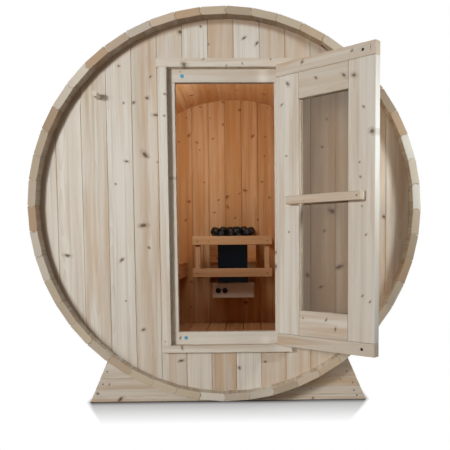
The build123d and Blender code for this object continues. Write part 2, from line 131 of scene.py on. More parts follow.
# The rear wall's larger knots, the same way
REAR_KNOTS = ((-250, 864, 4), (-355, 783, 4), (-338, 653, 7), (-414, 606, 4), (-277, 600, 5),
              (-259, 544, 4), (-174, 782, 4), (-78, 734, 6), (-80, 900, 4), (51, 841, 7),
              (144, 645, 8), (239, 641, 4), (234, 495, 4), (214, 303, 5), (270, 184, 5),
              (183, 19, 6), (83, 238, 7), (41, 214, 4), (-54, 191, 9), (-51, 114, 7),
              (5, 30, 6), (-226, 300, 4), (-155, 628, 4), (-344, 157, 8), (-371, 17, 5),
              (-151, 73, 4), (-337, -456, 7), (81, -620, 9), (-340, -651, 4), (-118, 167, 4),
              (259, 859, 3), (-610, 300, 6), (-520, -350, 5), (-450, 480, 4), (-700, -120, 6),
              (-560, 640, 5), (390, 420, 6), (480, -240, 7), (560, 610, 5), (640, 90, 6),
              (720, -330, 5), (430, -610, 8), (350, 40, 5), (-150, -800, 6), (230, -300, 6),
              (-790, 180, 5), (810, 240, 4), (-60, -380, 6))
# The leaf's larger knots: place from the hinge and up from the middle, and radius
LEAF_KNOTS = ((488, 404, 4), (530, 296, 10), (469, 172, 4), (473, 109, 4), (482, -17, 3),
              (502, -141, 4), (486, -407, 4), (524, -431, 4), (439, 545, 8), (388, 554, 6),
              (238, 569, 5), (75, 571, 7), (38, 480, 4), (65, 238, 3), (79, -121, 4),
              (161, -527, 3), (293, -527, 4), (344, -566, 4), (160, 655, 6), (429, 644, 7))


# Sizes and colours that a user may change

def length(name, description, default):
    """A length in metres, shown with its unit."""
    return bpy.props.FloatProperty(name=name, description=description, default=default, min=0.0,
                                   unit="LENGTH", precision=4)


def hue(name, description, screen):
    """A screen colour, given from 0 to 255."""
    return bpy.props.FloatVectorProperty(name=name, description=description, size=3, min=0, max=1,
                                         subtype="COLOR_GAMMA", default=[c / 255 for c in screen])


class SaunaSizes(bpy.types.PropertyGroup):
    """Sizes of the boards and pieces, in metres."""

    inside_radius: length("Inside radius", "From the barrel's axis to the staves", 0.9145)
    stave_thickness: length("Stave thickness", "How thick the staves are", 0.038)
    stave_count: bpy.props.IntProperty(name="Staves", description="Staves around the barrel",
                                       default=48, min=12)
    stave_turn: bpy.props.FloatProperty(name="Stave turn", description="Turn of the first joint",
                                        default=math.radians(-1), subtype="ANGLE")
    stave_play: length("Stave end play", "How unevenly the stave ends line up", 0.003)
    stave_gap: length("Stave gap", "Gap between two staves", 0.0008)
    board_pitch: length("Board pitch", "Width that a wall board covers", 0.125)
    board_joint: length("First joint", "A joint's place from the middle of the wall", 0.046)
    board_bevel: length("Board bevel", "Bevel along the wall boards", 0.0025)
    edge: length("Eased edge", "Bevel on the edges of planed boards", 0.0015)


class SaunaColours(bpy.types.PropertyGroup):
    """Colours of the woods."""

    wall_light: hue("Wall light", "Palest sapwood outside", (228, 220, 208))
    wall_mean: hue("Wall mean", "Common tone outside", (211, 197, 180))
    wall_warm: hue("Wall warm", "Pinkish heartwood outside", (202, 174, 146))
    # also the colour of the painted shade on the wall beside the barrel's lip
    wall_dark: hue("Wall dark", "Streaks and late wood outside", (152, 124, 98))
    wall_knot: hue("Wall knots", "Knots outside", (62, 44, 30))
    stave_light: hue("Stave light", "Palest stave ends", (230, 220, 204))
    stave_mean: hue("Stave mean", "Common tone of the staves", (206, 188, 163))
    stave_warm: hue("Stave warm", "Reddish staves", (198, 167, 136))
    # also the colour of the painted shade on the barrel's lip
    stave_dark: hue("Stave dark", "Streaks and dark end grain of the staves", (104, 78, 56))
    stave_knot: hue("Stave knots", "Knots in the staves", (60, 40, 26))
    cabin_light: hue("Cabin light", "Palest wood inside", (228, 184, 136))
    cabin_mean: hue("Cabin mean", "Common tone inside", (214, 160, 104))
    cabin_warm: hue("Cabin warm", "Reddish heartwood inside", (206, 146, 86))
    cabin_dark: hue("Cabin dark", "Streaks and late wood inside", (166, 102, 48))
    cabin_knot: hue("Cabin knots", "Knots inside", (106, 54, 20))


def size(name):
    """One of the user's sizes, in millimetres."""
    return getattr(bpy.context.scene.sauna_sizes, name) * 1000


# Meshes and objects

@contextmanager
def editing(mesh):
    """A mesh opened for editing, and written back at the end."""
    work = bmesh.new()
    work.from_mesh(mesh)
    yield work
    work.to_mesh(mesh)
    work.free()


def new_mesh(name, points, faces):
    """Closed mesh from points and faces, its faces turned outwards."""
    mesh = bpy.data.meshes.new(name)
    mesh.from_pydata([tuple(point) for point in points], [], faces)
    with editing(mesh) as work:
        bmesh.ops.recalc_face_normals(work, faces=work.faces)
    return mesh


def smooth_by_angle(mesh, degrees):
    """Smooth shading, with edges sharper than the angle kept crisp."""
    with editing(mesh) as work:
        for face in work.faces:
            face.smooth = True
        for edge in work.edges:
            if len(edge.link_faces) == 2:
                edge.smooth = edge.calc_face_angle() < math.radians(degrees)


def dress(mesh, material):
    """Gives a mesh one finish."""
    mesh.materials.clear()
    mesh.materials.append(material)


def show(mesh, name, material=None):
    """Links a mesh as an object at the origin, with its finish."""
    thing = bpy.data.objects.new(name, mesh)
    bpy.context.scene.collection.objects.link(thing)
    if material is not None:
        dress(mesh, material)
    return thing


def settle(thing, body, slot, *nodes):
    """Lets a finished piece ride on its body and hides the nodes it stands for. The slot is not used.
    """
    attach(thing, body)
    if nodes:
        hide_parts(*nodes)


def fit(made, name, look, *nodes, body="sauna", slot=None):
    """Shows a mesh, or some boards, in one finish and settles it in place of its nodes."""
    mesh = made.mesh(name) if isinstance(made, Timber) else made
    settle(show(mesh, name, finish(look)), body, slot or look, *nodes)


def evaluated(thing):
    """A plain mesh of an object as its modifiers leave it."""
    graph = bpy.context.evaluated_depsgraph_get()
    return bpy.data.meshes.new_from_object(thing.evaluated_get(graph), depsgraph=graph)


def lathe(profile, turns):
    """Closed turned mesh from (radius, height) pairs in millimetres, standing along Z."""
    points, faces, rings = [], [], []
    for radius, height in profile:
        count = turns if radius else 1
        rings.append([len(points) + k for k in range(count)])
        for k in range(count):
            angle = 2 * math.pi * k / turns
            points.append((radius * MM * math.cos(angle), radius * MM * math.sin(angle), height * MM))
    for one, two in zip(rings, rings[1:]):
        for k in range(turns):
            j = (k + 1) % turns
            loop = [one[k % len(one)], one[j % len(one)], two[j % len(two)], two[k % len(two)]]
            loop = list(dict.fromkeys(loop))
            if len(loop) > 2:
                faces.append(loop)
    mesh = new_mesh("turned", points, faces)
    smooth_by_angle(mesh, 35)
    return mesh


def copies(name, mesh, spots, facing):
    """One mesh of copies of a mesh at some spots, their Z turned to face a direction."""
    turn = Vector(facing).to_track_quat("Z", "Y").to_matrix().to_4x4()
    moved = []
    for spot in spots:
        moved.append(mesh.copy())
        moved[-1].transform(Matrix.Translation(Vector(spot)) @ turn)
    return join_meshes(name, moved)


def join_meshes(name, meshes):
    """One mesh from several."""
    joined = bpy.data.meshes.new(name)
    with editing(joined) as work:
        for mesh in meshes:
            work.from_mesh(mesh)
    return joined


def solid_boxes(name):
    """The box of each separate solid in a CAD node."""
    work = bmesh.new()
    work.from_mesh(frame["nodes"][name].data)
    bmesh.ops.remove_doubles(work, verts=work.verts, dist=1e-5)
    left = set(work.verts)
    boxes = []
    while left:
        stack, found = [left.pop()], []
        while stack:
            vertex = stack.pop()
            found.append(vertex.co.copy())
            near = {edge.other_vert(vertex) for edge in vertex.link_edges} & left
            left -= near
            stack.extend(near)
        boxes.append(tuple(Vector([end(point[i] for point in found) for i in range(3)])
                           for end in (min, max)))
    work.free()
    return sorted(boxes, key=lambda box: tuple(box[0]))


# Boards

FAR_OFF = 9.0
KNOT_REACH = 0.42


def knot_radius(pick, largest):
    """A knot's radius: most are much smaller than the largest."""
    return largest * (0.22 + 0.78 * pick.random() ** 2.5)


def halfway(knots):
    """The places along a board halfway between neighbouring knots."""
    return [(a[0] + b[0]) / 2 for a, b in zip(knots, knots[1:])]


def eased(left, right, front, back, cut):
    """The corners of a board's section, with its edges cut off."""
    return [(left + cut, front), (right - cut, front), (right, front + cut), (right, back - cut),
            (right - cut, back), (left + cut, back), (left, back - cut), (left, front + cut)]


def sloped_ring(x_low, x_high, depth, low, high, cut):
    """A ring of a board that lies across and is as far out at its foot as x_low, and at its top as
    x_high."""
    return [(x_low if z < (low + high) / 2 else x_high, y, z)
            for y, z in eased(*depth, low, high, cut)]


class Timber:
    """Boards gathered in one mesh. Each keeps its grain coordinates, its tone and its knots."""

    def __init__(self, seed, knots_per_metre=2.2, largest_knot=11.0):
        self.random = random.Random(seed)
        self.knots_per_metre = knots_per_metre
        self.largest_knot = largest_knot
        self.points, self.grain, self.board = [], [], []
        self.faces, self.knot, self.end = [], [], []

    def tone(self, tone=None, warmth=None):
        """Three numbers from 0 to 1 that set a board apart: how light, how warm, and a free one."""
        pick = self.random.random
        return pick() if tone is None else tone, pick() if warmth is None else warmth, pick()

    def scatter(self, length, width):
        """Knots along a board, as (along, across, radius) from its middle."""
        spots = []
        along = -length / 2 + self.random.uniform(10, 160)
        while along < length / 2 - 12:
            radius = knot_radius(self.random, self.largest_knot)
            spots.append((along, self.random.uniform(-KNOT_REACH, KNOT_REACH) * width, radius))
            along += 55 + self.random.expovariate(self.knots_per_metre / 1000)
        return spots

    def face(self, loop, knot, end):
        """Adds a face with the knot nearest to it, and whether it is end grain."""
        self.faces.append(tuple(loop))
        self.knot.append(knot)
        self.end.append(end)

    def loft(self, place, rings, lie, middle, board, knots):
        """Closed board through rings of points. lie names the axes along, across and through it."""
        axes = ["xyz".index(letter) for letter in lie]
        along = axes[0]
        first, count = len(self.points), len(rings[0])
        for ring in rings:
            for point in ring:
                self.points.append(place.at(point))
                self.grain.append([(point[a] - middle[a]) * MM for a in axes])
                self.board.append(board)
        for k, (ring, following) in enumerate(zip(rings, rings[1:])):
            mid = sum(p[along] for p in ring + following) / (2 * count) - middle[along]
            near = min(knots or [(0, 0, 0)], key=lambda knot: abs(knot[0] - mid))
            low, high = first + k * count, first + (k + 1) * count
            for i in range(count):
                j = (i + 1) % count
                self.face((low + i, low + j, high + j, high + i), [v * MM for v in near], 0.0)
        last = first + (len(rings) - 1) * count
        for loop in (range(first + count - 1, first - 1, -1), range(last, last + count)):
            self.face(loop, (FAR_OFF, FAR_OFF, 0.0), 1.0)

    def plank(self, place, x, y, z, lie, bevel, tone=None, warmth=None, knots=None):
        """Board between two widths, two depths and two heights, with its edges eased."""
        axes = ["xyz".index(letter) for letter in lie]
        middle = [sum(pair) / 2 for pair in (x, y, z)]
        half = [abs(pair[1] - pair[0]) / 2 for pair in (x, y, z)]
        long, wide, deep = (half[a] for a in axes)
        if knots is None:
            knots = self.scatter(2 * long, 2 * wide)
        knots = sorted(knots)
        steps = [(-long, bevel), (bevel - long, 0), *((cut, 0) for cut in halfway(knots)),
                 (long - bevel, 0), (long, bevel)]
        rings = []
        for along, inset in steps:
            right, back = wide - inset, deep - inset
            ring = []
            for across, through in eased(-right, right, -back, back, bevel / 2 if inset else bevel):
                point = list(middle)
                for a, offset in zip(axes, (along, across, through)):
                    point[a] += offset
                ring.append(point)
            rings.append(ring)
        self.loft(place, rings, lie, middle, self.tone(tone, warmth), knots)

    def mesh(self, name):
        """The boards as one mesh, with the attributes that the wood finish reads."""
        mesh = bpy.data.meshes.new(name)
        mesh.from_pydata([tuple(p) for p in self.points], [], self.faces)
        for key, kind, domain, values in (
                ("grain", "FLOAT_VECTOR", "POINT", self.grain),
                ("board", "FLOAT_VECTOR", "POINT", self.board),
                ("knot", "FLOAT_VECTOR", "FACE", self.knot),
                ("end", "FLOAT", "FACE", self.end)):
            layer = mesh.attributes.new(key, kind, domain)
            flat = np.array(values, np.float32).ravel()
            layer.data.foreach_set("vector" if kind == "FLOAT_VECTOR" else "value", flat)
        with editing(mesh) as work:
            bmesh.ops.remove_doubles(work, verts=work.verts, dist=1e-6)
            bmesh.ops.dissolve_degenerate(work, edges=work.edges, dist=1e-6)
            bmesh.ops.recalc_face_normals(work, faces=work.faces)
        return mesh


def even_marks(long):
    """Places of the knots of a board that is going to be copied."""
    count = max(1, int(long / 210))
    return [((k + 0.5) * long / count - long / 2, 0, 5) for k in range(count)]


def vectors(layer):
    """The values of a mesh's vector attribute."""
    values = np.zeros(len(layer.data) * 3, np.float32)
    layer.data.foreach_get("vector", values)
    return values.reshape(-1, 3)


def shuffle_knots(mesh, seed, width, largest, chance=0.7, play=45.0):
    """Moves the knots of copied boards about, so that no two boards are alike."""
    layer = mesh.attributes["knot"]
    knots, boards = vectors(layer), vectors(mesh.attributes["board"])
    chosen = {}
    for i, face in enumerate(mesh.polygons):
        if knots[i][0] > FAR_OFF / 2:
            continue
        key = (round(float(boards[face.vertices[0]][0]), 5), round(float(knots[i][0]), 4))
        if key not in chosen:
            pick = random.Random(f"{seed} {key}")
            radius = knot_radius(pick, largest)
            if pick.random() > chance:
                radius = 0.0
            chosen[key] = (key[1] + pick.uniform(-play, play) * MM,
                           pick.uniform(-KNOT_REACH, KNOT_REACH) * width * MM, radius * MM)
        knots[i] = chosen[key]
    layer.data.foreach_set("vector", knots.ravel())


# Node trees

class Value:
    """What a node gives out. Python's signs turn it into further nodes."""

    def __init__(self, tree, socket):
        self.tree, self.socket = tree, socket

    def __add__(self, other):
        return self.tree.math("ADD", self, other)

    def __sub__(self, other):
        return self.tree.math("SUBTRACT", self, other)

    def __rsub__(self, other):
        return self.tree.math("SUBTRACT", other, self)

    def __mul__(self, other):
        return self.tree.math("MULTIPLY", self, other)

    def __truediv__(self, other):
        return self.tree.math("DIVIDE", self, other)

    def __abs__(self):
        return self.tree.math("ABSOLUTE", self)


class Tree:
    """A node tree, with short calls to add to it."""

    def __init__(self, tree):
        self.tree = tree

    def fill(self, socket, value):
        """Links a socket to what a node gives out, or sets it to a plain value."""
        if isinstance(value, Value):
            value = value.socket
        if isinstance(value, bpy.types.NodeSocket):
            self.tree.links.new(value, socket)
        else:
            socket.default_value = value

    def add(self, kind, inputs=(), out=0, **settings):
        """Adds a node with its settings and inputs, and returns one of the values it gives out."""
        made = self.tree.nodes.new(kind)
        for key, value in settings.items():
            setattr(made, key, value)
        for socket, value in dict(inputs).items():
            self.fill(made.inputs[socket], value)
        return Value(self, made.outputs[out]) if made.outputs else None

    def math(self, operation, *values, clamp=False):
        return self.add("ShaderNodeMath", dict(enumerate(values)), operation=operation,
                        use_clamp=clamp)

    def seen(self):
        """1 for what the camera sees, also by reflection and through the pane, and 0 for light."""
        camera, glossy, passed = (self.add("ShaderNodeLightPath", out=ray) for ray in (
            "Is Camera Ray", "Is Glossy Ray", "Is Transmission Ray"))
        return self.math("ADD", camera + glossy, passed, clamp=True)


class Pattern(Tree):
    """Geometry tree with named inputs that copies the mesh it is given."""

    def __init__(self, name, **inputs):
        super().__init__(bpy.data.node_groups.new(name, "GeometryNodeTree"))
        ports = self.tree.interface
        ports.new_socket("Geometry", in_out="INPUT", socket_type="NodeSocketGeometry")
        for label, (kind, value) in inputs.items():
            port = ports.new_socket(label.replace("_", " "), in_out="INPUT",
                                    socket_type=f"NodeSocket{kind}")
            if value is not None:
                port.default_value = value
        ports.new_socket("Material", in_out="INPUT", socket_type="NodeSocketMaterial")
        ports.new_socket("Geometry", in_out="OUTPUT", socket_type="NodeSocketGeometry")
        self.given = self.tree.nodes.new("NodeGroupInput").outputs

    def vary(self, instances):
        """Gives each copied board its own tone numbers."""
        tones = self.add("FunctionNodeRandomValue", {"Seed": self.given["Seed"]},
                         data_type="FLOAT_VECTOR")
        return self.add("GeometryNodeStoreNamedAttribute",
                        {"Geometry": instances, "Name": "board", "Value": tones},
                        data_type="FLOAT_VECTOR", domain="INSTANCE")

    def finish(self, instances):
        """Realizes the copies and gives them their finish."""
        solid = self.add("GeometryNodeRealizeInstances", {"Geometry": instances})
        dressed = self.add("GeometryNodeSetMaterial",
                           {"Geometry": solid, "Material": self.given["Material"]})
        self.add("NodeGroupOutput", {0: dressed})
        return self.tree


def stave_ring():
    """Copies a stave around the barrel, each pushed back a little and with its own tone."""
    ring = Pattern("ring_of_staves", Count=("Int", 48), Turn=("Float", 0.0),
                   Axis_Height=("Float", 1.0), End_Play=("Float", 0.003), Seed=("Int", 1))
    given = ring.given
    centre = ring.add("ShaderNodeCombineXYZ", {"Z": given["Axis Height"]})
    points = ring.add("GeometryNodePoints", {"Count": given["Count"], "Position": centre})
    step = ring.math("DIVIDE", 2 * math.pi, given["Count"])
    angle = ring.math("MULTIPLY_ADD", ring.add("GeometryNodeInputIndex"), step, given["Turn"])
    turn = ring.add("FunctionNodeAxisAngleToRotation", {"Axis": (0, -1, 0), "Angle": angle})
    staves = ring.add("GeometryNodeInstanceOnPoints",
                      {"Points": points, "Instance": given["Geometry"], "Rotation": turn})
    play = ring.add("FunctionNodeRandomValue", {"Max": given["End Play"], "Seed": given["Seed"]},
                    out=1)
    moved = ring.add("GeometryNodeTranslateInstances", {
        "Instances": staves, "Translation": ring.add("ShaderNodeCombineXYZ", {"Y": play}),
        "Local Space": False})
    return ring.finish(ring.vary(moved))


def board_row():
    """Copies a board along a line, each with its own tone."""
    row = Pattern("row_of_boards", Count=("Int", 5), Step=("Vector", None), Seed=("Int", 1))
    line = row.add("GeometryNodeMeshLine", {"Count": row.given["Count"], "Offset": row.given["Step"]})
    boards = row.add("GeometryNodeInstanceOnPoints",
                     {"Points": line, "Instance": row.given["Geometry"]})
    return row.finish(row.vary(boards))


def piece_scatter():
    """Sets copies of a small piece on points, each turned to face along its own direction."""
    heap = Pattern("set_on_points", Piece=("Object", None), Seed=("Int", 1))
    facing = heap.add("GeometryNodeInputNamedAttribute", {"Name": "facing"},
                      data_type="FLOAT_VECTOR")
    spin = heap.add("FunctionNodeRandomValue", {"Max": 2 * math.pi, "Seed": heap.given["Seed"]},
                    out=1)
    aligned = heap.add("FunctionNodeAlignRotationToVector", {"Vector": facing}, axis="Z")
    own = heap.add("FunctionNodeAxisAngleToRotation", {"Axis": (0, 0, 1), "Angle": spin})
    turned = heap.add("FunctionNodeRotateRotation", {"Rotation": aligned, "Rotate By": own},
                      rotation_space="LOCAL")
    piece = heap.add("GeometryNodeObjectInfo", {"Object": heap.given["Piece"]}, out="Geometry")
    return heap.finish(heap.add("GeometryNodeInstanceOnPoints", {
        "Points": heap.given["Geometry"], "Instance": piece, "Rotation": turned}))


def grow(mesh, tree, name, values):
    """Runs a tree on a mesh and returns the result as a plain object at the origin. The copies
    take their board tones from the tree, so the mesh gives up its own."""
    if "board" in mesh.attributes:
        mesh.attributes.remove(mesh.attributes["board"])
    seedling = show(mesh, name + "_seed")
    modifier = seedling.modifiers.new("grow", "NODES")
    modifier.node_group = tree
    for item in tree.interface.items_tree:
        if item.in_out == "INPUT" and item.name in values:
            modifier[item.identifier] = values[item.name]
    grown = evaluated(seedling)
    seedling.modifiers.remove(modifier)
    bpy.data.objects.remove(seedling)
    grown.name = name
    return show(grown, name)


def point_cloud(spots, facings):
    """Loose points, each with the direction that its copy faces."""
    mesh = bpy.data.meshes.new("points")
    mesh.from_pydata([tuple(spot) for spot in spots], [], [])
    layer = mesh.attributes.new("facing", "FLOAT_VECTOR", "POINT")
    layer.data.foreach_set("vector", [c for facing in facings for c in facing])
    return mesh


def set_on_points(piece, spots, facings, name, seed, look):
    """Copies of a small piece on some spots, in one finish and as one object."""
    template = show(piece, name + "_piece")
    thing = grow(point_cloud(spots, facings), piece_scatter(), name,
                 {"Piece": template, "Seed": seed, "Material": finish(look)})
    bpy.data.objects.remove(template)
    return thing


# Finishes

def tint(red, green, blue):
    """A screen colour from 0 to 255 as Blender's linear colour."""
    values = []
    for c in (red, green, blue):
        c /= 255
        values.append(c / 12.92 if c <= 0.04045 else ((c + 0.055) / 1.055) ** 2.4)
    return (*values, 1.0)


class Finish(Tree):
    """A material's node tree, with short calls to add to it."""

    def __init__(self, name):
        self.material = bpy.data.materials.new(name)
        self.material.use_nodes = True
        super().__init__(self.material.node_tree)
        self.tree.nodes.clear()
        self.out = self.tree.nodes.new("ShaderNodeOutputMaterial")
        self.shader = self.tree.nodes.new("ShaderNodeBsdfPrincipled")
        self.surface(self.shader.outputs[0])

    def surface(self, shader):
        self.fill(self.out.inputs["Surface"], shader)

    def set(self, **inputs):
        for key, value in inputs.items():
            self.fill(self.shader.inputs[key.replace("_", " ")], value)

    def place(self):
        return self.add("ShaderNodeTexCoord", out="Object")

    def attribute(self, name, output="Vector"):
        return self.add("ShaderNodeAttribute", out=output, attribute_name=name)

    def apart(self, vector):
        """The three numbers of a vector."""
        split = self.add("ShaderNodeSeparateXYZ", {0: vector}).socket.node
        return [Value(self, number) for number in split.outputs]

    def vector(self, operation, first, second):
        return self.add("ShaderNodeVectorMath", {0: first, 1: second}, operation=operation)

    def noise(self, place, scale, detail=2.0, roughness=0.5, distortion=0.0, stretch=None):
        if stretch:
            place = self.vector("MULTIPLY", place, stretch)
        return self.add("ShaderNodeTexNoise", {"Vector": place, "Scale": scale, "Detail": detail,
                                               "Roughness": roughness, "Distortion": distortion})

    def mix(self, share, first, second):
        return self.add("ShaderNodeMix", {0: share, 6: first, 7: second}, 2, data_type="RGBA")

    def step(self, value, low, high, kind="SMOOTHSTEP"):
        """0 below low, 1 above high, or the other way round if low is the larger."""
        return self.add("ShaderNodeMapRange", {"Value": value, "From Min": low, "From Max": high},
                        interpolation_type=kind)

    def bump(self, height, distance, strength):
        self.set(Normal=self.add("ShaderNodeBump", {"Height": height, "Distance": distance,
                                                    "Strength": strength}))


def faces_inward(wood):
    """Three masks: faces that look into the cabin, a painted shade near the rim where the barrel's lip
    throws shade at the left and the top, and how far left a face is."""
    x, y, z = wood.apart(wood.place())
    inside = bpy.context.scene.sauna_sizes.inside_radius
    up = z - AXIS
    out = wood.math("SQRT", x * x + up * up)
    within = wood.math("LESS_THAN", out, inside + 0.0065)
    behind = wood.math("GREATER_THAN", y, FRONT + (WALL_BACK - 3.5) * MM)
    before = wood.math("LESS_THAN", y, FRONT + (REAR_FRONT + 3.5) * MM)
    cabin = within * (behind * before)
    rim = wood.step(out, inside - 0.034, inside - 0.012)
    # painted shade: darker near the rim at the left and the top, where the barrel's lip keeps light off
    shade = (within - cabin) * rim * wood.step(x, 0.75, 0.1) * wood.step(z, AXIS - 0.8, AXIS - 0.35)
    return cabin, shade, wood.step(x, -0.6, -0.9)


def knot_near(wood, along, across, free, end):
    """How far the nearest knot is in its own radii, a mask of where the board has one, and how far
    the grain parts around it. Each knot is an oval that leans its own way."""
    knot_along, knot_across, radius = wood.apart(wood.attribute("knot"))
    turn = knot_along * 41.0
    oval = wood.math("FRACT", turn) * 1.5 + 1.0
    lean = wood.math("SINE", turn) * 0.9
    cosine, sine = wood.math("COSINE", lean), wood.math("SINE", lean)
    ahead, beside = along - knot_along, across - knot_across
    wobble = wood.noise(wood.add("ShaderNodeCombineXYZ", {0: ahead, 1: beside, 2: free}),
                        110.0, 3.0, 0.6)
    major = (ahead * sine + beside * cosine) / oval
    minor = beside * sine - ahead * cosine
    far = wood.math("SQRT", major * major + minor * minor) * (wobble * 1.3 + 0.35)
    radii = far / wood.math("MAXIMUM", radius, 0.00005)
    there = wood.math("GREATER_THAN", radius, 0.0004) * (1.0 - end)
    parting = wood.step(radii, 4.5, 0.3) * (beside / (abs(beside) + 0.004)) * (radius * 0.9)
    return radii, there, parting * there


def growth_rings(wood, place, across, through, warmth, free):
    """Lines of late wood round a pith that lies behind or beside the board."""
    from_pith = across - (warmth - 0.5) * 0.14
    deep = through + (free * 0.09 + 0.018)
    drift = wood.noise(place, 1.0, 2.0, stretch=(1.1, 2.5, 2.5))
    ring = wood.math("SQRT", from_pith * from_pith + deep * deep) + drift * 0.055
    return wood.math("POWER", wood.math("FRACT", ring * 260.0), 2.2)


def cedar(name, palette, inside=None, contrast=1.0, lie=None, lips=0.0, sheen=0.2, knots=0.9):
    """Sawn and planed cedar: board tones, streaks, growth rings, fibre and knots with halos.
    Faces that look into the cabin take the second palette. Outside the cabin, painted shade darkens the
    barrel's lip and the wall beside it at the left and the top. Where the piece has no grain of its
    own, lie names the axes along, across and through it."""
    wood = Finish(name)
    colours = [tint(*colour) for colour in palette]
    if inside:
        cabin, shade, left = faces_inward(wood)
        colours = [wood.mix(cabin, outer, tint(*inner)) for outer, inner in zip(colours, inside)]
    light, mean, warm, dark, knot = colours
    axes = wood.apart(wood.place() if lie else wood.attribute("grain"))
    along, across, through = (axes["xyz".index(axis)] for axis in lie or "xyz")
    tone, warmth, free = wood.apart(wood.attribute("board"))
    end = wood.attribute("end", "Fac")
    radii, there, parting = knot_near(wood, along, across, free, end)
    across = across - parting
    place = wood.add("ShaderNodeCombineXYZ", {0: along, 1: across, 2: through})
    shift = wood.vector("MULTIPLY", wood.attribute("board"), (7.3, 7.3, 7.3))
    place = wood.vector("ADD", place, shift)

    # broad and narrow streaks along the board, growth rings and the finest grain
    streak = wood.noise(place, 1.0, 3.0, 0.55, 0.2, stretch=(0.7, 22.0, 22.0))
    blush = wood.noise(place, 1.7, 3.0, 0.5, stretch=(0.9, 13.0, 9.0))
    stripe = wood.noise(place, 1.0, 3.0, 0.65, stretch=(0.45, 75.0, 75.0))
    vein = wood.noise(place, 1.3, 2.0, 0.6, stretch=(0.6, 36.0, 36.0))
    rings = growth_rings(wood, place, across, through, warmth, free)
    fibre = wood.noise(place, 1.0, 2.0, 0.6, stretch=(14.0, 900.0, 900.0))
    pores = wood.noise(place, 1.0, 1.0, stretch=(500.0, 900.0, 900.0))

    # clear wood
    lightness = tone * 0.5 + wood.step(streak, 0.32, 0.68) * 0.35 + wood.step(stripe, 0.3, 0.7) * 0.2
    clear = wood.mix(wood.step(lightness, 0.15, 0.9), mean, light)
    redness = warmth * 0.6 + wood.step(blush, 0.36, 0.68) * 0.45
    clear = wood.mix(wood.step(redness, 0.25, 1.05), clear, warm)
    for lines, strength in ((wood.step(vein, 0.5, 0.76), 0.38), (wood.step(stripe, 0.53, 0.76), 0.32),
                            (rings, 0.22), (wood.step(fibre, 0.45, 0.75), 0.16)):
        clear = wood.mix(lines * (strength * contrast), clear, dark)
    # painted shade: the barrel's lip and the wall beside it are darker at the left and the top
    if inside:
        clear = wood.mix(shade * lips, clear, dark)

    # end grain takes its tone from the board, and its pores show
    cut = wood.mix(wood.step(tone, 0.35, 0.95), mean, light)
    cut = wood.mix(wood.step(warmth, 0.4, 0.9), cut, warm)
    darker_marks = [wood.step(free, 0.6, 1.0) * 0.3, wood.step(pores, 0.4, 0.8) * 0.2, rings * 0.15]
    # the end grain is also darker towards the left
    if inside:
        darker_marks.insert(1, left * 0.3)
    for stain in darker_marks:
        cut = wood.mix(stain, cut, dark)
    clear = wood.mix(end, clear, cut)

    # knots: a stained halo, and a heart that is darkest in the middle
    clear = wood.mix(wood.step(radii, 2.4, 0.8) * there * 0.45, clear, dark)
    heart = wood.step(radii, 1.1, 0.45) * there
    wood.set(Base_Color=wood.mix(heart * knots, clear, knot), Specular_IOR_Level=sheen,
             Roughness=fibre * 0.16 + 0.56 - heart * 0.16)
    wood.bump(rings * 0.25 + fibre * 0.6 - heart * 0.8 - pores * end * 0.8, 0.0004, 0.5)
    return wood.material


def polished_steel(name, colour, rough, brushed=False):
    """Sheet steel, mirror bright or brushed, with faint smears."""
    steel = Finish(name)
    smear = steel.noise(steel.place(), 9.0, 3.0, 0.6)
    fine = steel.noise(steel.place(), 1.0, 2.0, stretch=(60.0, 60.0, 900.0))
    paler = [min(255, c + 12) for c in colour]
    roughness = smear * (rough * 0.8) + rough
    if brushed:
        roughness = roughness + fine * 0.12
        steel.bump(fine, 0.00015, 0.4)
    else:
        steel.bump(smear, 0.0012, 0.25)
    steel.set(Metallic=1.0, Base_Color=steel.mix(smear, tint(*colour), tint(*paler)),
              Roughness=roughness)
    return steel.material


def painted(name, colour, rough, grit, shine=0.5):
    """Satin or moulded surface in one colour, with a fine unevenness."""
    paint = Finish(name)
    patch = paint.noise(paint.place(), 14.0, 3.0, 0.55)
    darker = [int(c * 0.93) for c in colour]
    paint.set(Base_Color=paint.mix(patch, tint(*darker), tint(*colour)),
              Roughness=patch * 0.14 + (rough - 0.06), Specular_IOR_Level=shine)
    paint.bump(paint.noise(paint.place(), 1400.0, 1.0), 0.0002, grit)
    return paint.material


def stone(name):
    """Dark broken rock, rough, with paler grains."""
    rock = Finish(name)
    patch = rock.noise(rock.place(), 16.0, 4.0, 0.6)
    grain = rock.noise(rock.place(), 240.0, 3.0, 0.7)
    base = rock.mix(rock.step(patch, 0.3, 0.7), tint(8, 8, 9), tint(26, 26, 26))
    base = rock.mix(rock.step(grain, 0.55, 0.75) * 0.5, base, tint(52, 52, 50))
    rock.set(Base_Color=base, Roughness=rock.step(grain, 0.0, 1.8, "LINEAR"))
    rock.bump(patch * 2.0 + grain, 0.004, 0.9)
    return rock.material


def tinted_glass(name, colour):
    """Bronze tempered pane that lets the lamps through; the tint is what both its faces pass."""
    pane = Finish(name)
    pane.set(Base_Color=colour, Roughness=0.0, IOR=1.45, Transmission_Weight=1.0,
             Specular_IOR_Level=0.05)
    passed = pane.add("ShaderNodeBsdfTransparent", {"Color": [math.sqrt(c) for c in colour]})
    shadow = pane.add("ShaderNodeLightPath", out="Is Shadow Ray")
    pane.surface(pane.add("ShaderNodeMixShader", {0: shadow, 1: pane.shader.outputs[0], 2: passed}))
    return pane.material


FINISHES = {}


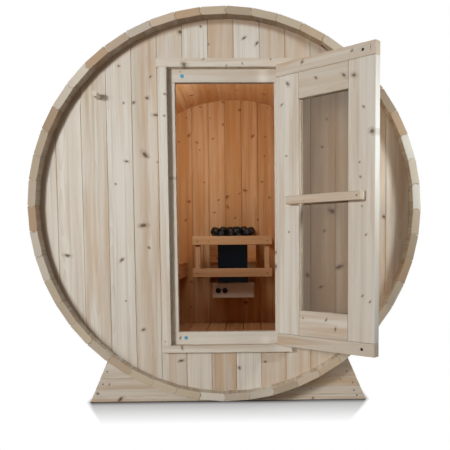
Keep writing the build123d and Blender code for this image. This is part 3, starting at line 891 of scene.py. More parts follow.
def finish(name):
    """One of the finishes of the sauna, made the first time that it is asked for."""
    if name not in FINISHES:
        colours = bpy.context.scene.sauna_colours
        wall, stave, cabin = (
            [[c * 255 for c in getattr(colours, f"{wood}_{shade}")]
             for shade in ("light", "mean", "warm", "dark", "knot")]
            for wood in ("wall", "stave", "cabin"))
        maker, values, options = {
            "wall_cedar": (cedar, (wall, cabin), {"contrast": 0.8, "lips": 0.85, "knots": 0.8}),
            "stave_cedar": (cedar, (stave, cabin), {"lips": 0.6}),
            "trim_cedar": (cedar, (wall,), {"contrast": 0.45, "knots": 0.7}),
            "cabin_cedar": (cedar, (cabin,), {"contrast": 0.8, "sheen": 0.15}),
            "cross_cedar": (cedar, (cabin,), {"lie": "xzy", "sheen": 0.15}),
            "peg_cedar": (cedar, (wall,), {"lie": "yxz"}),
            "polished_steel": (polished_steel, ((205, 205, 208), 0.035), {}),
            "band_steel": (polished_steel, ((140, 140, 142), 0.3), {"brushed": True}),
            "fitting_steel": (polished_steel, ((150, 148, 146), 0.28), {"brushed": True}),
            "screw_steel": (polished_steel, ((96, 90, 84), 0.35), {"brushed": True}),
            # a painted reflection of a dark room, for the heater's front facet
            "dark_face": (painted, ((8, 15, 30), 0.16, 0.02), {"shine": 0.06}),
            "box_steel": (painted, ((228, 214, 196), 0.38, 0.1), {}),
            "knob_black": (painted, ((14, 12, 14), 0.36, 0.3), {"shine": 0.2}),
            "catch_blue": (painted, ((70, 170, 200), 0.3, 0.1), {}),
            "glass": (tinted_glass, ((0.42, 0.355, 0.29, 1.0),), {}),
            "stones": (stone, (), {}),
        }[name]
        FINISHES[name] = maker(name, *values, **options)
    return FINISHES[name]


# Staves

def stave_outline():
    """A stave's section, across and out from the axis, with a bead on one side and a cove on the
    other, and the radius of their middle."""
    inner = size("inside_radius")
    outer = inner + size("stave_thickness")
    half = math.pi / bpy.context.scene.sauna_sizes.stave_count
    cosine, sine = math.cos(half), math.sin(half)
    gap, ease = size("stave_gap") / 2, 3.0
    bead, centre, seat = 14.0, 8.0, (inner + outer) / 2
    cove = bead + 2 * gap

    def turned(off, out, side):
        """A point given by its distances off the plane of a joint, on one side, and out along it."""
        return off * cosine - side * out * sine, side * off * sine + out * cosine

    def arc(radius, start, side):
        """A round stretch from one end of the joint's curve to the other."""
        angles = [start + (2 * math.pi - 2 * start) * i / 10 for i in range(11)]
        if side > 0:
            angles.reverse()
        return [turned(centre + radius * math.cos(t), seat + radius * math.sin(t), side)
                for t in angles]

    ease_in, ease_out = inner * math.tan(half) - ease, outer * math.tan(half) - ease
    outline = [(0, inner), (-ease_in, inner), turned(gap, inner + ease, 1)]
    outline += arc(bead, math.acos((gap - centre) / bead), 1)
    outline += [turned(gap, outer - ease, 1), (-ease_out, outer), (0, outer), (ease_out, outer),
                turned(-gap, outer - ease, -1)]
    outline += arc(cove, math.acos((-gap - centre) / cove), -1)
    outline += [turned(-gap, inner + ease, -1), (ease_in, inner)]
    return outline, seat


def make_staves():
    values = bpy.context.scene.sauna_sizes
    timber = Timber(11)
    outline, seat = stave_outline()
    long = (BACK - FRONT) * 1000 - size("stave_play")
    ease, pitch = 2.0, 215.0
    end_height = 0.93
    end_width = 1 - (1 - end_height) * 0.45
    cuts = [pitch * k for k in range(1, int(long / pitch) + 1) if pitch * k < long - 40]
    rings = []
    for y in (0, ease, *cuts, long - ease, long):
        wide, high = (end_width, end_height) if y in (0, long) else (1, 1)
        rings.append([(x * wide, y, seat + (z - seat) * high) for x, z in outline])
    marks = [(pitch * (k + 0.5) - long / 2, 0, 5) for k in range(len(cuts) + 1)]
    timber.loft(STAVE_PLACE, rings, "yxz", (0, long / 2, seat), (0.5, 0.5, 0.5), marks)
    ring = grow(timber.mesh("stave"), stave_ring(), "staves", {
        "Count": values.stave_count, "Turn": values.stave_turn + math.pi / values.stave_count,
        "Axis Height": AXIS, "End Play": values.stave_play, "Seed": 7,
        "Material": finish("stave_cedar")})
    shuffle_knots(ring.data, 5, 110, 13.0, 0.75, 60)
    settle(ring, "sauna", "stave_cedar", *STAVE_NODES)


# End walls

def board_outline(x0, x1, y0, y1, bevel, tongue, groove):
    """Outline from above of an upright wall board, with its tongue and its groove."""
    gap, steps = 0.5, 7
    tongue_root, tongue_tip, tongue_long = (12.6, 24.4), (13.2, 23.8), 7
    groove_sides, groove_deep = (12.2, 24.8), 8
    left, right = x0 + gap, x1 - gap
    across = [(right - left - 2 * bevel) * i / steps for i in range(steps + 1)]
    outline = [(left + bevel + x, y0) for x in across] + [(right, y0 + bevel)]
    if tongue:
        tip = right + tongue_long
        outline += [(right, y0 + tongue_root[0]), (tip, y0 + tongue_tip[0]),
                    (tip, y0 + tongue_tip[1]), (right, y0 + tongue_root[1])]
    outline += [(right, y1 - bevel)] + [(right - bevel - x, y1) for x in across]
    outline.append((left, y1 - bevel))
    if groove:
        near, far = (y0 + side for side in groove_sides)
        root = left + groove_deep
        outline += [(left, far), (root, far), (root, near), (left, near)]
    return outline + [(left, y0 + bevel)]


def board_pieces(x0, x1, doorway):
    """The pieces of a wall board, as left, right, bottom and top. None is the barrel's round."""
    if not doorway or x0 >= FRAME_X or x1 <= -FRAME_X:
        return [(x0, x1, None, None)]
    pieces = [(x0, x1, FRAME_Z, None), (x0, x1, None, -FRAME_Z)]
    if x0 < -FRAME_X:
        pieces.append((x0, -FRAME_X, -FRAME_Z, FRAME_Z))
    if x1 > FRAME_X:
        pieces.append((FRAME_X, x1, -FRAME_Z, FRAME_Z))
    return pieces


def wall_boards(timber, y0, y1, doorway, tones, known_knots, joint, bevel):
    """Upright boards across the barrel, cut to its round and around the doorway."""
    pitch = size("board_pitch")
    reach = size("inside_radius") + 3.5
    count = int((reach + joint) // pitch) + 1
    joints = [joint + pitch * k for k in range(-count, count + 1)]
    joints = [-reach] + [x for x in joints if abs(x) < reach - 12] + [reach]
    for n, (x0, x1) in enumerate(zip(joints, joints[1:])):
        middle = ((x0 + x1) / 2, (y0 + y1) / 2, 0)
        look = timber.tone(*(tones[n] if tones else (None, None)))
        knots = sorted((z, x - middle[0], r) for x, z, r in known_knots if x0 <= x < x1)
        for left, right, bottom, top in board_pieces(x0, x1, doorway):
            outline = board_outline(left, right, y0, y1, bevel, right == x1 < reach,
                                    left == x0 > -reach)
            rounds = [math.sqrt(max(0.0, reach * reach - x * x)) for x, y in outline]
            low = [-z if bottom is None else bottom for z in rounds]
            high = [z if top is None else top for z in rounds]
            cuts = [[min(max(cut, least), most) for least, most in zip(low, high)]
                    for cut in halfway(knots) if min(low) < cut < max(high)]
            rings = [[(x, y, z) for (x, y), z in zip(outline, level)] for level in (low, *cuts, high)]
            timber.loft(BARREL, rings, "zxy", middle, look, knots)


def make_end_walls():
    joint, bevel = size("board_joint"), size("board_bevel")
    front = Timber(21)
    wall_boards(front, WALL_FRONT, WALL_BACK, True, FRONT_TONES, FRONT_KNOTS, joint, bevel)
    fit(front, "front_wall", "wall_cedar", "front_wall_left",
        "front_wall_right", "front_wall_over_door", "front_wall_under_door")
    rear = Timber(22)
    wall_boards(rear, REAR_FRONT, REAR_BACK, False, (), REAR_KNOTS, joint + 13, bevel + 1.5)
    fit(rear, "rear_wall", "wall_cedar", "back_wall")


# Doorway and door leaf

def sill_casing_rings(edge):
    """Rings along the sill's casing, which is wider at its foot."""
    bottom, top = sides("sill_casing", "z")
    foot = sides("sill_casing", "x")[1]
    front, rear = CASING_DEPTH
    rings = [sloped_ring(side * (foot - inset), side * (CASING_X - inset),
                         (front + inset, rear - inset), bottom + inset, top - inset,
                         edge / 2 if inset else edge)
             for side, inset in ((-1, edge), (-1, 0), (1, 0), (1, edge))]
    return rings, (0, (front + rear) / 2, (top + bottom) / 2)


def make_doorway():
    edge = size("edge")
    boards = Timber(31)
    depth = (WALL_FRONT, WALL_BACK)
    for side in (-1, 1):
        boards.plank(BARREL, (side * OPENING_X, side * FRAME_X), depth, (-OPENING_Z, OPENING_Z),
                     "zyx", edge, 0.8, 0.2)
    for side in (-1, 1):
        boards.plank(BARREL, (-FRAME_X, FRAME_X), depth, (side * OPENING_Z, side * FRAME_Z),
                     "xzy", edge, 0.45, 0.25)
    fit(boards, "door_frame", "trim_cedar", "door_jambs", "frame_head", "frame_sill")

    casings = Timber(32)
    for side in (-1, 1):
        casings.plank(BARREL, (side * FRAME_X, side * CASING_X), CASING_DEPTH, (-FRAME_Z, FRAME_Z),
                      "zxy", edge, 0.8, 0.3)
    casings.plank(BARREL, sides("head_casing", "x"), CASING_DEPTH, sides("head_casing", "z"), "xzy",
                  edge, 0.55, 0.4)
    rings, middle = sill_casing_rings(edge)
    casings.loft(BARREL, rings, "xzy", middle, casings.tone(0.7, 0.35),
                 casings.scatter(2 * CASING_X, 36))
    fit(casings, "door_casings", "trim_cedar", "side_casings", "head_casing", "sill_casing")

    catch = lathe([(0, 3.0), (4.2, 3.0), (4.8, 2.2), (7.4, 2.2), (8.2, 3.0), (8.8, 2.6),
                   (9.0, 0.0), (0, 0)], 28)
    spots = [BARREL.at((CATCH_X, WALL_FRONT, z)) for z in (CATCH_Z, -CATCH_Z)]
    fit(copies("magnet_catches", catch, spots, FORWARD), "magnet_catches", "catch_blue",
        "frame_catches")


def cut_round_holes(thing, spots, facing, radius, depth):
    """Cuts blind round holes into a piece, down from each spot against its direction."""
    rod = lathe([(0, -depth), (radius, -depth), (radius, 5), (0, 5)], 24)
    for spot in spots:
        cutter = show(copies("rod", rod, [spot], facing), "hole_cutter")
        hole = thing.modifiers.new("hole", "BOOLEAN")
        hole.operation, hole.solver, hole.object = "DIFFERENCE", "EXACT", cutter
        mesh = evaluated(thing)
        thing.modifiers.remove(hole)
        old, thing.data = thing.data, mesh
        bpy.data.meshes.remove(old)
        bpy.data.objects.remove(cutter)


def make_leaf():
    edge = size("edge")
    boards = Timber(41, 2.0, 9.0)
    near, far = 2.5, 546.5
    stile, joint = 135.5, 1.0
    rails = (near + stile + joint, far - stile - joint)
    rail, stile_top = 494, sides("door_stiles", "z")[1]
    cap, top = stile_top + joint, sides("door_caps", "z")[1]
    for x, z, lie, tone, warmth in (
            ((near, near + stile), (-stile_top, stile_top), "zxy", 0.8, 0.25),
            ((far - stile, far), (-stile_top, stile_top), "zxy", 0.65, 0.2),
            (rails, (rail, stile_top), "xzy", 0.05, 0.2), (rails, (-stile_top, -rail), "xzy", 0.9, 0.6),
            ((near, far), (cap, top), "xzy", 0.4, 0.7), ((near, far), (-top, -cap), "xzy", 0.4, 0.6)):
        knots = [(kx - sum(x) / 2, kz - sum(z) / 2, r) for kx, kz, r in LEAF_KNOTS
                 if x[0] < kx < x[1] and z[0] < kz < z[1]]
        if lie == "zxy":
            knots = [(kz, kx, r) for kx, kz, r in knots]
        boards.plank(LEAF, x, LEAF_DEPTH, z, lie, edge, tone, warmth, knots)
    leaf = show(boards.mesh("leaf_boards"), "leaf_boards", finish("trim_cedar"))
    hole_radius, hole_depth = 7, 8
    mouths, floors = ([LEAF.at((STRIKE_X, LEAF_DEPTH[1] - depth, z)) for z in (CATCH_Z, -CATCH_Z)]
                      for depth in (0, hole_depth))
    cut_round_holes(leaf, mouths, LEAF.depth, hole_radius, hole_depth)
    settle(leaf, "door", "trim_cedar", "door_stiles", "door_rails", "door_caps")

    # The steel strikes are given black paint: painted shade of the holes they sit in.
    strike = lathe([(0, 2.6), (5.6, 2.6), (6.4, 2.0), (6.6, 0), (0, 0)], 24)
    fit(copies("strike_plates", strike, floors, LEAF.depth), "strike_plates", "knob_black",
        "door_strikes", body="door", slot="fitting_steel")
    make_pulls()


def make_pulls():
    """A bar on two blocks on each face of the leaf."""
    pulls = Timber(42, 1.0, 5.0)
    x0, x1 = 92.5, 502.5
    high = sides("door_pulls", "z")
    block = 40
    for face, out in ((LEAF_DEPTH[1], 1), (LEAF_DEPTH[0], -1)):
        stand = (face, face + out * PULL_STAND_OFF)
        pulls.plank(LEAF, (x0, x1), (stand[1], stand[1] + out * PULL_THICK), high, "xzy", 2.0,
                    0.15, 0.75)
        for x in (x0, x1 - block):
            pulls.plank(LEAF, (x, x + block), stand, high, "yxz", 1.5, 0.5, 0.7, [])
    fit(pulls, "pull_bars", "trim_cedar", "door_pulls", body="door")


# Floor, benches and guard

def make_row(name, node, timber, box, count, gap, bevel, seed, largest=9.0):
    """A row of like boards from one side of a box to the other, in place of a node."""
    (near, far), depth, high = box
    side = 1 if far > near else -1
    wide = (abs(far - near) - (count - 1) * gap) / count
    timber.plank(BARREL, (near, near + side * wide), depth, high, "yxz", bevel,
                 knots=even_marks(depth[1] - depth[0]))
    thing = grow(timber.mesh(name), board_row(), name, {
        "Count": count, "Step": (side * (wide + gap) * MM, 0, 0), "Seed": seed,
        "Material": finish("cabin_cedar")})
    shuffle_knots(thing.data, seed, wide, largest)
    settle(thing, "sauna", "cabin_cedar", node)


def make_floor():
    make_row("floor_planks", "floor_boards", Timber(51), span(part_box("floor_boards")), count=7,
             gap=5.0, bevel=size("edge"), seed=52)


def make_benches():
    depth = (WALL_BACK, REAR_FRONT)
    for side, name in ((-1, "left"), (1, "right")):
        slats, apron_node = f"bench_{name}_slats", f"bench_{name}_apron"
        across, _, high = span(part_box(slats))
        near, far = 365.0, max(abs(x) for x in across)
        make_row(f"{name}_bench_slats", slats, Timber(61 + side),
                 ((side * near, side * far), depth, high), count=5, gap=12.0, bevel=2.5,
                 seed=64 + side, largest=7.0)
        across, _, high = span(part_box(apron_node))
        apron = Timber(67 + side)
        apron.plank(BARREL, across, depth, high, "yzx", size("edge"), 0.9, 0.2)
        fit(apron, f"{name}_bench_apron", "cabin_cedar", apron_node)


def make_guard():
    timber = Timber(71, 1.2, 5.0)
    nodes = {"guard_front_rails": "xzy", "guard_side_rails": "yzx", "guard_posts": "zxy"}
    for node, lie in nodes.items():
        for box in solid_boxes(node):
            # the guard's boards take the lightest cabin tones: painted light from the doorway falling
            # on them
            timber.plank(BARREL, *span(box), lie, 2.0, 0.9 + 0.1 * timber.random.random(), 0.3)
    fit(timber, "guard_rail", "cabin_cedar", *nodes)


# Heater

def fold_edges(thing):
    """Rounds the sharp edges of a sheet steel housing."""
    fold = thing.modifiers.new("folds", "BEVEL")
    fold.width, fold.segments = 0.004, 3
    fold.limit_method, fold.angle_limit = "ANGLE", math.radians(20)


def heater_plan(half, front, back, inset):
    """The casing's outline from above, drawn in on its front and sides."""
    face, corner = 107.0, 70.0
    slope = math.atan2(corner, half - face)
    side = inset * math.tan(math.pi / 4 - slope / 2)
    near = inset * math.tan(slope / 2)
    right = [(face - near, front + inset), (half - inset, front + corner + side),
             (half - inset, back - inset)]
    return [(-x, y) for x, y in reversed(right)] + right


def make_heater():
    (left, right), (front, back), (bottom, top) = span(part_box("heater_casing"))
    middle, half = (left + right) / 2, (right - left) / 2
    rim, well = 10, 170
    points = []
    for inset, z in ((6, bottom), (0, bottom + 4), (0, top - 3), (2, top), (rim, top),
                     (rim + 2, top - 3), (rim + 2, top - well)):
        points += [BARREL.at((middle + x, y, z)) for x, y in heater_plan(half, front, back, inset)]
    faces, corners = [], 6
    for first in range(0, len(points) - corners, corners):
        for i in range(corners):
            j = (i + 1) % corners
            faces.append((first + i, first + j, first + corners + j, first + corners + i))
    # the front facet of the polished steel is painted dark blue: a painted reflection of a dark room
    dark_face = corners + 2
    faces += [range(corners - 1, -1, -1), range(len(points) - corners, len(points))]
    shell = show(new_mesh("heater_shell", points, faces), "heater_shell", finish("polished_steel"))
    shell.data.materials.append(finish("dark_face"))
    shell.data.polygons[dark_face].material_index = 1
    fold_edges(shell)
    settle(shell, "sauna", "polished_steel", "heater_casing")


def make_controls():
    """The control box under the heater, with its two dials."""
    low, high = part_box("control_box")
    mesh = bpy.data.meshes.new("control_case")
    with editing(mesh) as work:
        bmesh.ops.create_cube(work, size=1.0)
    mesh.transform(Matrix.Translation((low + high) / 2) @ Matrix.Diagonal((*(high - low), 1)))
    case = show(mesh, "control_case", finish("box_steel"))
    fold_edges(case)
    settle(case, "sauna", "box_steel", "control_box")

    knob = lathe([(0, 16), (10, 16), (12.5, 15.2), (13.2, 13.8), (14, 5), (18.2, 3.6), (19, 2.4),
                  (19, 0), (0, 0)], 36)
    spots = [((low.x + high.x) / 2, high.y, (low.z + high.z) / 2)
             for low, high in solid_boxes("control_knobs")]
    fit(copies("dials", knob, spots, FORWARD), "dials", "knob_black", "control_knobs")


# Stones

def rock_mesh(seed):
    """An angular stone about 1 m across, to be scaled down."""
    pick = random.Random(seed)
    mesh = bpy.data.meshes.new("rock")
    with editing(mesh) as work:
        bmesh.ops.create_icosphere(work, subdivisions=3, radius=0.5)
        planes = [(direction(pick), pick.uniform(0.28, 0.42)) for _ in range(13)]
        stretch = Vector((1, pick.uniform(0.75, 0.95), pick.uniform(0.6, 0.8)))
        for vertex in work.verts:
            point = vertex.co.copy()
            for normal, reach in planes:
                over = point.dot(normal) - reach
                if over > 0:
                    point -= normal * over * 0.88
            point += Vector([pick.gauss(0, 0.006) for _ in range(3)])
            vertex.co = point * stretch
    smooth_by_angle(mesh, 28)
    return mesh


def direction(pick):
    """A random direction."""
    return Vector([pick.gauss(0, 1) for _ in range(3)]).normalized()


def heap_spots(low, high, top, pick):
    """Where the stones lie, dealt out to three kinds: layers that leave the heap's front rounded."""
    kinds = [[], [], []]
    for z, inset, pitch in ((top - 0.014, 0.0, 0.07), (top + 0.02, 0.0, 0.066),
                            (high.z - 0.033, 0.004, 0.058)):
        x, odd = low.x + inset + 0.036, 0
        while x < high.x - inset - 0.026:
            y = low.y + inset + 0.034 + (pitch / 2 if odd else 0)
            while y < high.y - 0.03:
                if (y - low.y) + min(x - low.x, high.x - x) * 0.7 > 0.075:
                    spot = Vector([v + pick.uniform(-play, play)
                                   for v, play in ((x, 0.007), (y, 0.007), (z, 0.006))])
                    kinds[pick.randrange(3)].append(spot)
                y += pitch
            x += pitch * 0.88
            odd = 1 - odd
    return kinds


def make_stones():
    low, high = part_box("heater_stones")
    pick = random.Random(83)
    meshes = []
    for k, spots in enumerate(heap_spots(low, high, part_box("heater_casing")[1].z, pick)):
        rock = rock_mesh(90 + k)
        rock.transform(Matrix.Scale(0.083, 4))
        thing = set_on_points(rock, spots, [direction(pick) for _ in spots], f"heap_{k}",
                              seed=3 + k, look="stones")
        meshes.append(thing.data)
        bpy.data.objects.remove(thing)
    joined = join_meshes("heater_rocks", meshes)
    inside = np.zeros(len(joined.vertices) * 3)
    joined.vertices.foreach_get("co", inside)
    inside = np.clip(inside.reshape(-1, 3), np.array(low) + 0.001, np.array(high) - 0.001)
    joined.vertices.foreach_set("co", inside.ravel())
    fit(joined, "heater_rocks", "stones", "heater_stones")


# Cradles and screws

CRADLE_LEVELS = (0.0, 30.0, 68.0, 123.0, 240.0)
CRADLE_HOLLOW = 955.0
CRADLE_SLOPE = math.tan(math.radians(23.4))


def cradle_spots(side, low, high):
    """Places along a cradle's plank: across at its foot and at its top, and its two heights. side
    is None for a plank that runs right across under the barrel."""
    axis, half = AXIS * 1000, sides("cradle_front", "x")[1]
    foot, top = half - low * CRADLE_SLOPE, half - high * CRADLE_SLOPE
    spots = []
    if side is None:
        steps = 24
        for i in range(steps + 1):
            x = -foot + 2 * foot * i / steps
            spots.append((x, max(-top, min(top, x)), low, min(high, axis - hollow_at(x))))
        return spots
    start, stop = hollow_at(axis - low) + 4, hollow_at(axis - high)
    for i in range(9):
        x = start + (stop - start) * i / 8
        spots.append((side * x, side * x, low, min(high, axis - hollow_at(x))))
    spots.append((side * foot, side * top, low, high))
    return spots if side > 0 else spots[::-1]


def hollow_at(offset):
    """How far the hollow's round is from the barrel's axis, at an offset the other way."""
    return math.sqrt(CRADLE_HOLLOW ** 2 - offset ** 2)


def cradle_plank(timber, depth, side, low, high):
    """One plank of a cradle, cut to its slope and to the barrel's round."""
    edge, ground = 2.0, -AXIS * 1000
    spots = cradle_spots(side, low, high)
    rings = [sloped_ring(x_low, x_high, depth, ground + z_low, ground + z_high,
                         min(edge, (z_high - z_low) / 3))
             for x_low, x_high, z_low, z_high in spots]
    start, stop = spots[0][0], spots[-1][0]
    # the right-hand planks take the darkest, warmest tone as painted shade of that side, the others a
    # middle tone
    look = timber.tone(0.0, 1.0) if side == 1 else timber.tone(0.45)
    timber.loft(BARREL, rings, "xzy", ((stop + start) / 2, sum(depth) / 2, ground + (low + high) / 2),
                look, timber.scatter(abs(stop - start), high - low))


def make_cradles():
    under_barrel = AXIS * 1000 - CRADLE_HOLLOW
    for n, name in enumerate(("cradle_front", "cradle_rear")):
        timber = Timber(101 + n, 1.6, 9.0)
        for low, high in zip(CRADLE_LEVELS, CRADLE_LEVELS[1:]):
            for side in [None] if low < under_barrel else [-1, 1]:
                cradle_plank(timber, sides(name, "y"), side, low, high)
        piece = "_".join(reversed(name.split("_")))
        fit(timber, piece, "wall_cedar", name)


def make_screws():
    head = lathe([(0, 0.35), (0.9, 0.35), (1.1, -0.9), (1.2, 0.45), (3.6, 0.7), (4.2, 0.35),
                  (4.3, -0.6), (0, -0.6)], 16)
    spots = [Vector((x, low.y, (low.z + high.z) / 2 - 0.004))
             for low, high in solid_boxes("guard_front_rails")
             for x in (low.x + 0.034, high.x - 0.034)]
    cradle = sides("cradle_front", "y")[0]
    spots += [BARREL.at((x, cradle, z - AXIS * 1000)) for x, z in (
        (-628, 160), (-652, 94), (-676, 45), (617, 147), (649, 88), (656, 47), (671, 20))]
    pull = LEAF.at((STRIKE_X, LEAF_DEPTH[1] + PULL_STAND_OFF + PULL_THICK,
                    sum(sides("door_pulls", "z")) / 2))
    for body, places, facing in (("sauna", spots, FORWARD), ("door", [pull], LEAF.depth)):
        settle(set_on_points(head, places, [facing] * len(places), f"{body}_screws", seed=12,
                             look="screw_steel"), body, "fitting_steel")


def dress_nodes():
    """Gives the CAD nodes that stay their finishes."""
    for look, nodes in (("band_steel", ["bands"]), ("fitting_steel", ["frame_hinges", "door_hinges"]),
                        ("glass", ["door_glass"]), ("box_steel", ["heater_bracket"]),
                        ("peg_cedar", ["wall_peg"]),
                        ("cross_cedar", ["floor_bearers", "bench_left_supports",
                                         "bench_right_supports"])):
        for name in nodes:
            dress(frame["nodes"][name].data, finish(look))


# Stage

def floor_paper():
    """Pale paper. Light meets it as any floor, and the camera sees it white apart from the shadow
    around the front cradle's foot and under the barrel. That shadow is partly the lamps' own and partly
    painted: there the camera's white glow fades out, and right in front of the foot the paper is
    darker."""
    paper = Finish("pale_floor")
    paper.tree.nodes.remove(paper.shader)
    x, y, _ = paper.apart(paper.place())
    low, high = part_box("cradle_front")
    before = paper.math("MAXIMUM", low.y - y, 0.0)
    half_width = high.x - before * 0.4
    beside = paper.math("MAXIMUM", abs(x) - half_width, 0.0) * 18.0
    behind = paper.math("MAXIMUM", y - BACK, 0.0)
    away = paper.math("SQRT", beside * beside + (before * before + behind * behind))
    # painted shadow: the white glow fades out close to the cradle's foot and under the barrel
    strength = (paper.step(away, 0.01, 0.07, "LINEAR") * 0.4
                + paper.step(away, 0.06, 0.42, "LINEAR") * 0.6)
    glow = paper.add("ShaderNodeEmission", {"Color": (1, 1, 1, 1), "Strength": strength})
    # painted shade: the paper that the camera sees is darker just in front of the foot than under the
    # barrel
    under = paper.step(y, low.y + 0.05, low.y + 0.4)
    base = paper.mix(under, (0.18, 0.175, 0.17, 1), (0.6, 0.58, 0.56, 1))
    shaded = paper.add("ShaderNodeBsdfDiffuse", {
        "Color": paper.mix(paper.step(away, 0.0, 0.5), base, (0, 0, 0, 1))})
    lit = paper.add("ShaderNodeBsdfDiffuse", {"Color": (0.6, 0.55, 0.48, 1)})
    shown = paper.add("ShaderNodeAddShader", {0: shaded, 1: glow})
    paper.surface(paper.add("ShaderNodeMixShader", {0: paper.seen(), 1: lit, 2: shown}))
    return paper.material


def area_lamp(name, place, target, lamp_size, power, colour, spread=180):
    """A soft lamp that looks at a target and isn't seen itself; spread is its beam in degrees."""
    lamp = bpy.data.lights.new(name, "AREA")
    lamp.spread = math.radians(spread)
    lamp.shape, lamp.size, lamp.size_y = "RECTANGLE", *lamp_size
    lamp.energy, lamp.color = power, colour
    thing = bpy.data.objects.new(name, lamp)
    thing.location = place
    thing.rotation_euler = (Vector(target) - Vector(place)).to_track_quat("-Z", "Y").to_euler()
    thing.visible_camera = False
    bpy.context.scene.collection.objects.link(thing)


def make_lights():
    """White behind the object for the camera, a soft warm light all round, and five lamps."""
    world = bpy.data.worlds.new("studio")
    bpy.context.scene.world = world
    world.use_nodes = True
    studio = Tree(world.node_tree)
    studio.tree.nodes.clear()
    soft = studio.add("ShaderNodeBackground", {"Color": (1, 0.96, 0.92, 1), "Strength": 0.15})
    white = studio.add("ShaderNodeBackground", {"Color": (1, 1, 1, 1), "Strength": 1.0})
    mixed = studio.add("ShaderNodeMixShader", {0: studio.seen(), 1: soft, 2: white})
    studio.add("ShaderNodeOutputWorld", {"Surface": mixed})

    area_lamp("key", (-3.2, -5.35, 1.9), (-0.4, -0.14, 1.35), (0.6, 0.6), 28, (0.86, 0.94, 1.0), 70)
    area_lamp("side_light", (1.8, -1.0, 1.6), (0.72, -0.42, 1.15), (0.25, 0.3), 6.0,
              (0.8, 0.92, 1.0), 90)
    area_lamp("front_fill", (-3.4, -5.6, 1.5), (0, 0, 0.95), (3.0, 2.6), 85, (1.0, 0.91, 0.82))
    area_lamp("cabin_lamp", (-0.25, 0.5, AXIS + 0.42), (0.05, 1.6, AXIS + 0.5), (0.5, 0.4), 5.1,
              (0.92, 0.97, 1.0))
    area_lamp("back_fill", (1.0, 5.2, 4.6), (0, 1.4, 1.2), (3.0, 2.4), 150, (1.0, 0.96, 0.92))


def make_camera():
    """A camera where the photo was taken from."""
    camera = bpy.data.cameras.new("camera")
    camera.sensor_width, camera.lens = 36.0, 49.11
    camera.shift_x, camera.shift_y = -0.0837, 0.1433
    camera.clip_start, camera.clip_end = 0.05, 100.0
    yaw, pitch, roll = 0.0200, -0.0703, -0.0075
    across = Vector((math.cos(yaw), -math.sin(yaw), 0))
    level = Vector((math.sin(yaw), math.cos(yaw), 0))
    forward = level * math.cos(pitch) + UP * math.sin(pitch)
    upright = -level * math.sin(pitch) + UP * math.cos(pitch)
    right = across * math.cos(roll) + upright * math.sin(roll)
    top = -across * math.sin(roll) + upright * math.cos(roll)
    eye = bpy.data.objects.new("camera", camera)
    turn = Matrix((right, top, -forward)).transposed().to_4x4()
    eye.matrix_world = Matrix.Translation((0.1181, -3.2075, AXIS - 0.1874)) @ turn
    bpy.context.scene.collection.objects.link(eye)
    bpy.context.scene.camera = eye


def make_stage():
    reach = 20
    floor = bpy.data.meshes.new("floor")
    floor.from_pydata([(-reach, -reach, 0), (reach, -reach, 0), (reach, reach, 0), (-reach, reach, 0)],
                      [], [(0, 1, 2, 3)])
    show(floor, "floor", floor_paper())
    make_lights()
    make_camera()
    bpy.context.scene.view_settings.view_transform = "Standard"


# Operators

class SAUNA_OT_staves(bpy.types.Operator):
    """Sets the staves around the barrel"""

    bl_idname = "sauna.staves"
    bl_label = "Staves"

    def execute(self, context):
        make_staves()
        return {"FINISHED"}


class SAUNA_OT_end_walls(bpy.types.Operator):
    """Builds the tongue and groove boards of the two end walls"""

    bl_idname = "sauna.end_walls"
    bl_label = "End Walls"

    def execute(self, context):
        make_end_walls()
        return {"FINISHED"}


class SAUNA_OT_doorway(bpy.types.Operator):
    """Builds the door frame, its casings and its magnet catches"""

    bl_idname = "sauna.doorway"
    bl_label = "Doorway"

    def execute(self, context):
        make_doorway()
        return {"FINISHED"}


class SAUNA_OT_leaf(bpy.types.Operator):
    """Builds the door leaf with its strikes and pull bars"""

    bl_idname = "sauna.leaf"
    bl_label = "Door Leaf"

    def execute(self, context):
        make_leaf()
        return {"FINISHED"}


class SAUNA_OT_floor(bpy.types.Operator):
    """Lays the floor boards"""

    bl_idname = "sauna.floor"
    bl_label = "Floor"

    def execute(self, context):
        make_floor()
        return {"FINISHED"}


class SAUNA_OT_benches(bpy.types.Operator):
    """Builds the two benches"""

    bl_idname = "sauna.benches"
    bl_label = "Benches"

    def execute(self, context):
        make_benches()
        return {"FINISHED"}


class SAUNA_OT_heater(bpy.types.Operator):
    """Builds the heater, its control box and its dials"""

    bl_idname = "sauna.heater"
    bl_label = "Heater"

    def execute(self, context):
        make_heater()
        make_controls()
        return {"FINISHED"}


class SAUNA_OT_stones(bpy.types.Operator):
    """Heaps the stones on the heater"""

    bl_idname = "sauna.stones"
    bl_label = "Stones"

    def execute(self, context):
        make_stones()
        return {"FINISHED"}


class SAUNA_OT_guard(bpy.types.Operator):
    """Builds the guard rail around the heater"""

    bl_idname = "sauna.guard"
    bl_label = "Guard Rail"

    def execute(self, context):
        make_guard()
        return {"FINISHED"}


class SAUNA_OT_cradles(bpy.types.Operator):
    """Stacks the planks of the two cradles"""

    bl_idname = "sauna.cradles"
    bl_label = "Cradles"

    def execute(self, context):
        make_cradles()
        return {"FINISHED"}


class SAUNA_OT_fittings(bpy.types.Operator):
    """Gives the bands, hinges, pane and other CAD pieces their finishes"""

    bl_idname = "sauna.fittings"
    bl_label = "Fittings"

    def execute(self, context):
        dress_nodes()
        return {"FINISHED"}


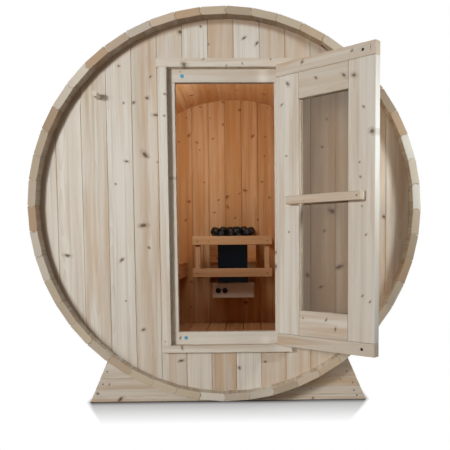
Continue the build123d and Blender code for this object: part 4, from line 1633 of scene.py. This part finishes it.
class SAUNA_OT_screws(bpy.types.Operator):
    """Sets the screw heads"""

    bl_idname = "sauna.screws"
    bl_label = "Screws"

    def execute(self, context):
        make_screws()
        return {"FINISHED"}


class SAUNA_OT_stage(bpy.types.Operator):
    """Sets up the floor, the lamps and the camera"""

    bl_idname = "sauna.stage"
    bl_label = "Stage"

    def execute(self, context):
        make_stage()
        return {"FINISHED"}


OPERATORS = (SAUNA_OT_staves, SAUNA_OT_end_walls, SAUNA_OT_doorway, SAUNA_OT_leaf, SAUNA_OT_floor,
             SAUNA_OT_benches, SAUNA_OT_heater, SAUNA_OT_stones, SAUNA_OT_guard, SAUNA_OT_cradles,
             SAUNA_OT_fittings, SAUNA_OT_screws, SAUNA_OT_stage)


class SAUNA_PT_panel(bpy.types.Panel):
    """The sauna's pieces, sizes and colours"""

    bl_label = "Barrel Sauna"
    bl_idname = "SAUNA_PT_panel"
    bl_space_type = "VIEW_3D"
    bl_region_type = "UI"
    bl_category = "Sauna"

    def draw(self, context):
        for operator in OPERATORS:
            self.layout.operator(operator.bl_idname)
        for group in (context.scene.sauna_sizes, context.scene.sauna_colours):
            column = self.layout.column(align=True)
            for key in group.bl_rna.properties.keys():
                if key not in ("rna_type", "name"):
                    column.prop(group, key)


CLASSES = (SaunaSizes, SaunaColours) + OPERATORS + (SAUNA_PT_panel,)


def register():
    for cls in CLASSES:
        bpy.utils.register_class(cls)
    bpy.types.Scene.sauna_sizes = bpy.props.PointerProperty(type=SaunaSizes)
    bpy.types.Scene.sauna_colours = bpy.props.PointerProperty(type=SaunaColours)


def unregister():
    del bpy.types.Scene.sauna_colours
    del bpy.types.Scene.sauna_sizes
    for cls in reversed(CLASSES):
        bpy.utils.unregister_class(cls)


def main():
    """Builds every piece and the stage."""
    register()
    for operator in OPERATORS:
        group, name = operator.bl_idname.split(".")
        result = getattr(getattr(bpy.ops, group), name)()
        if result != {"FINISHED"}:
            raise RuntimeError(f"{operator.bl_idname} didn't finish")


if __name__ == "__main__":
    main()
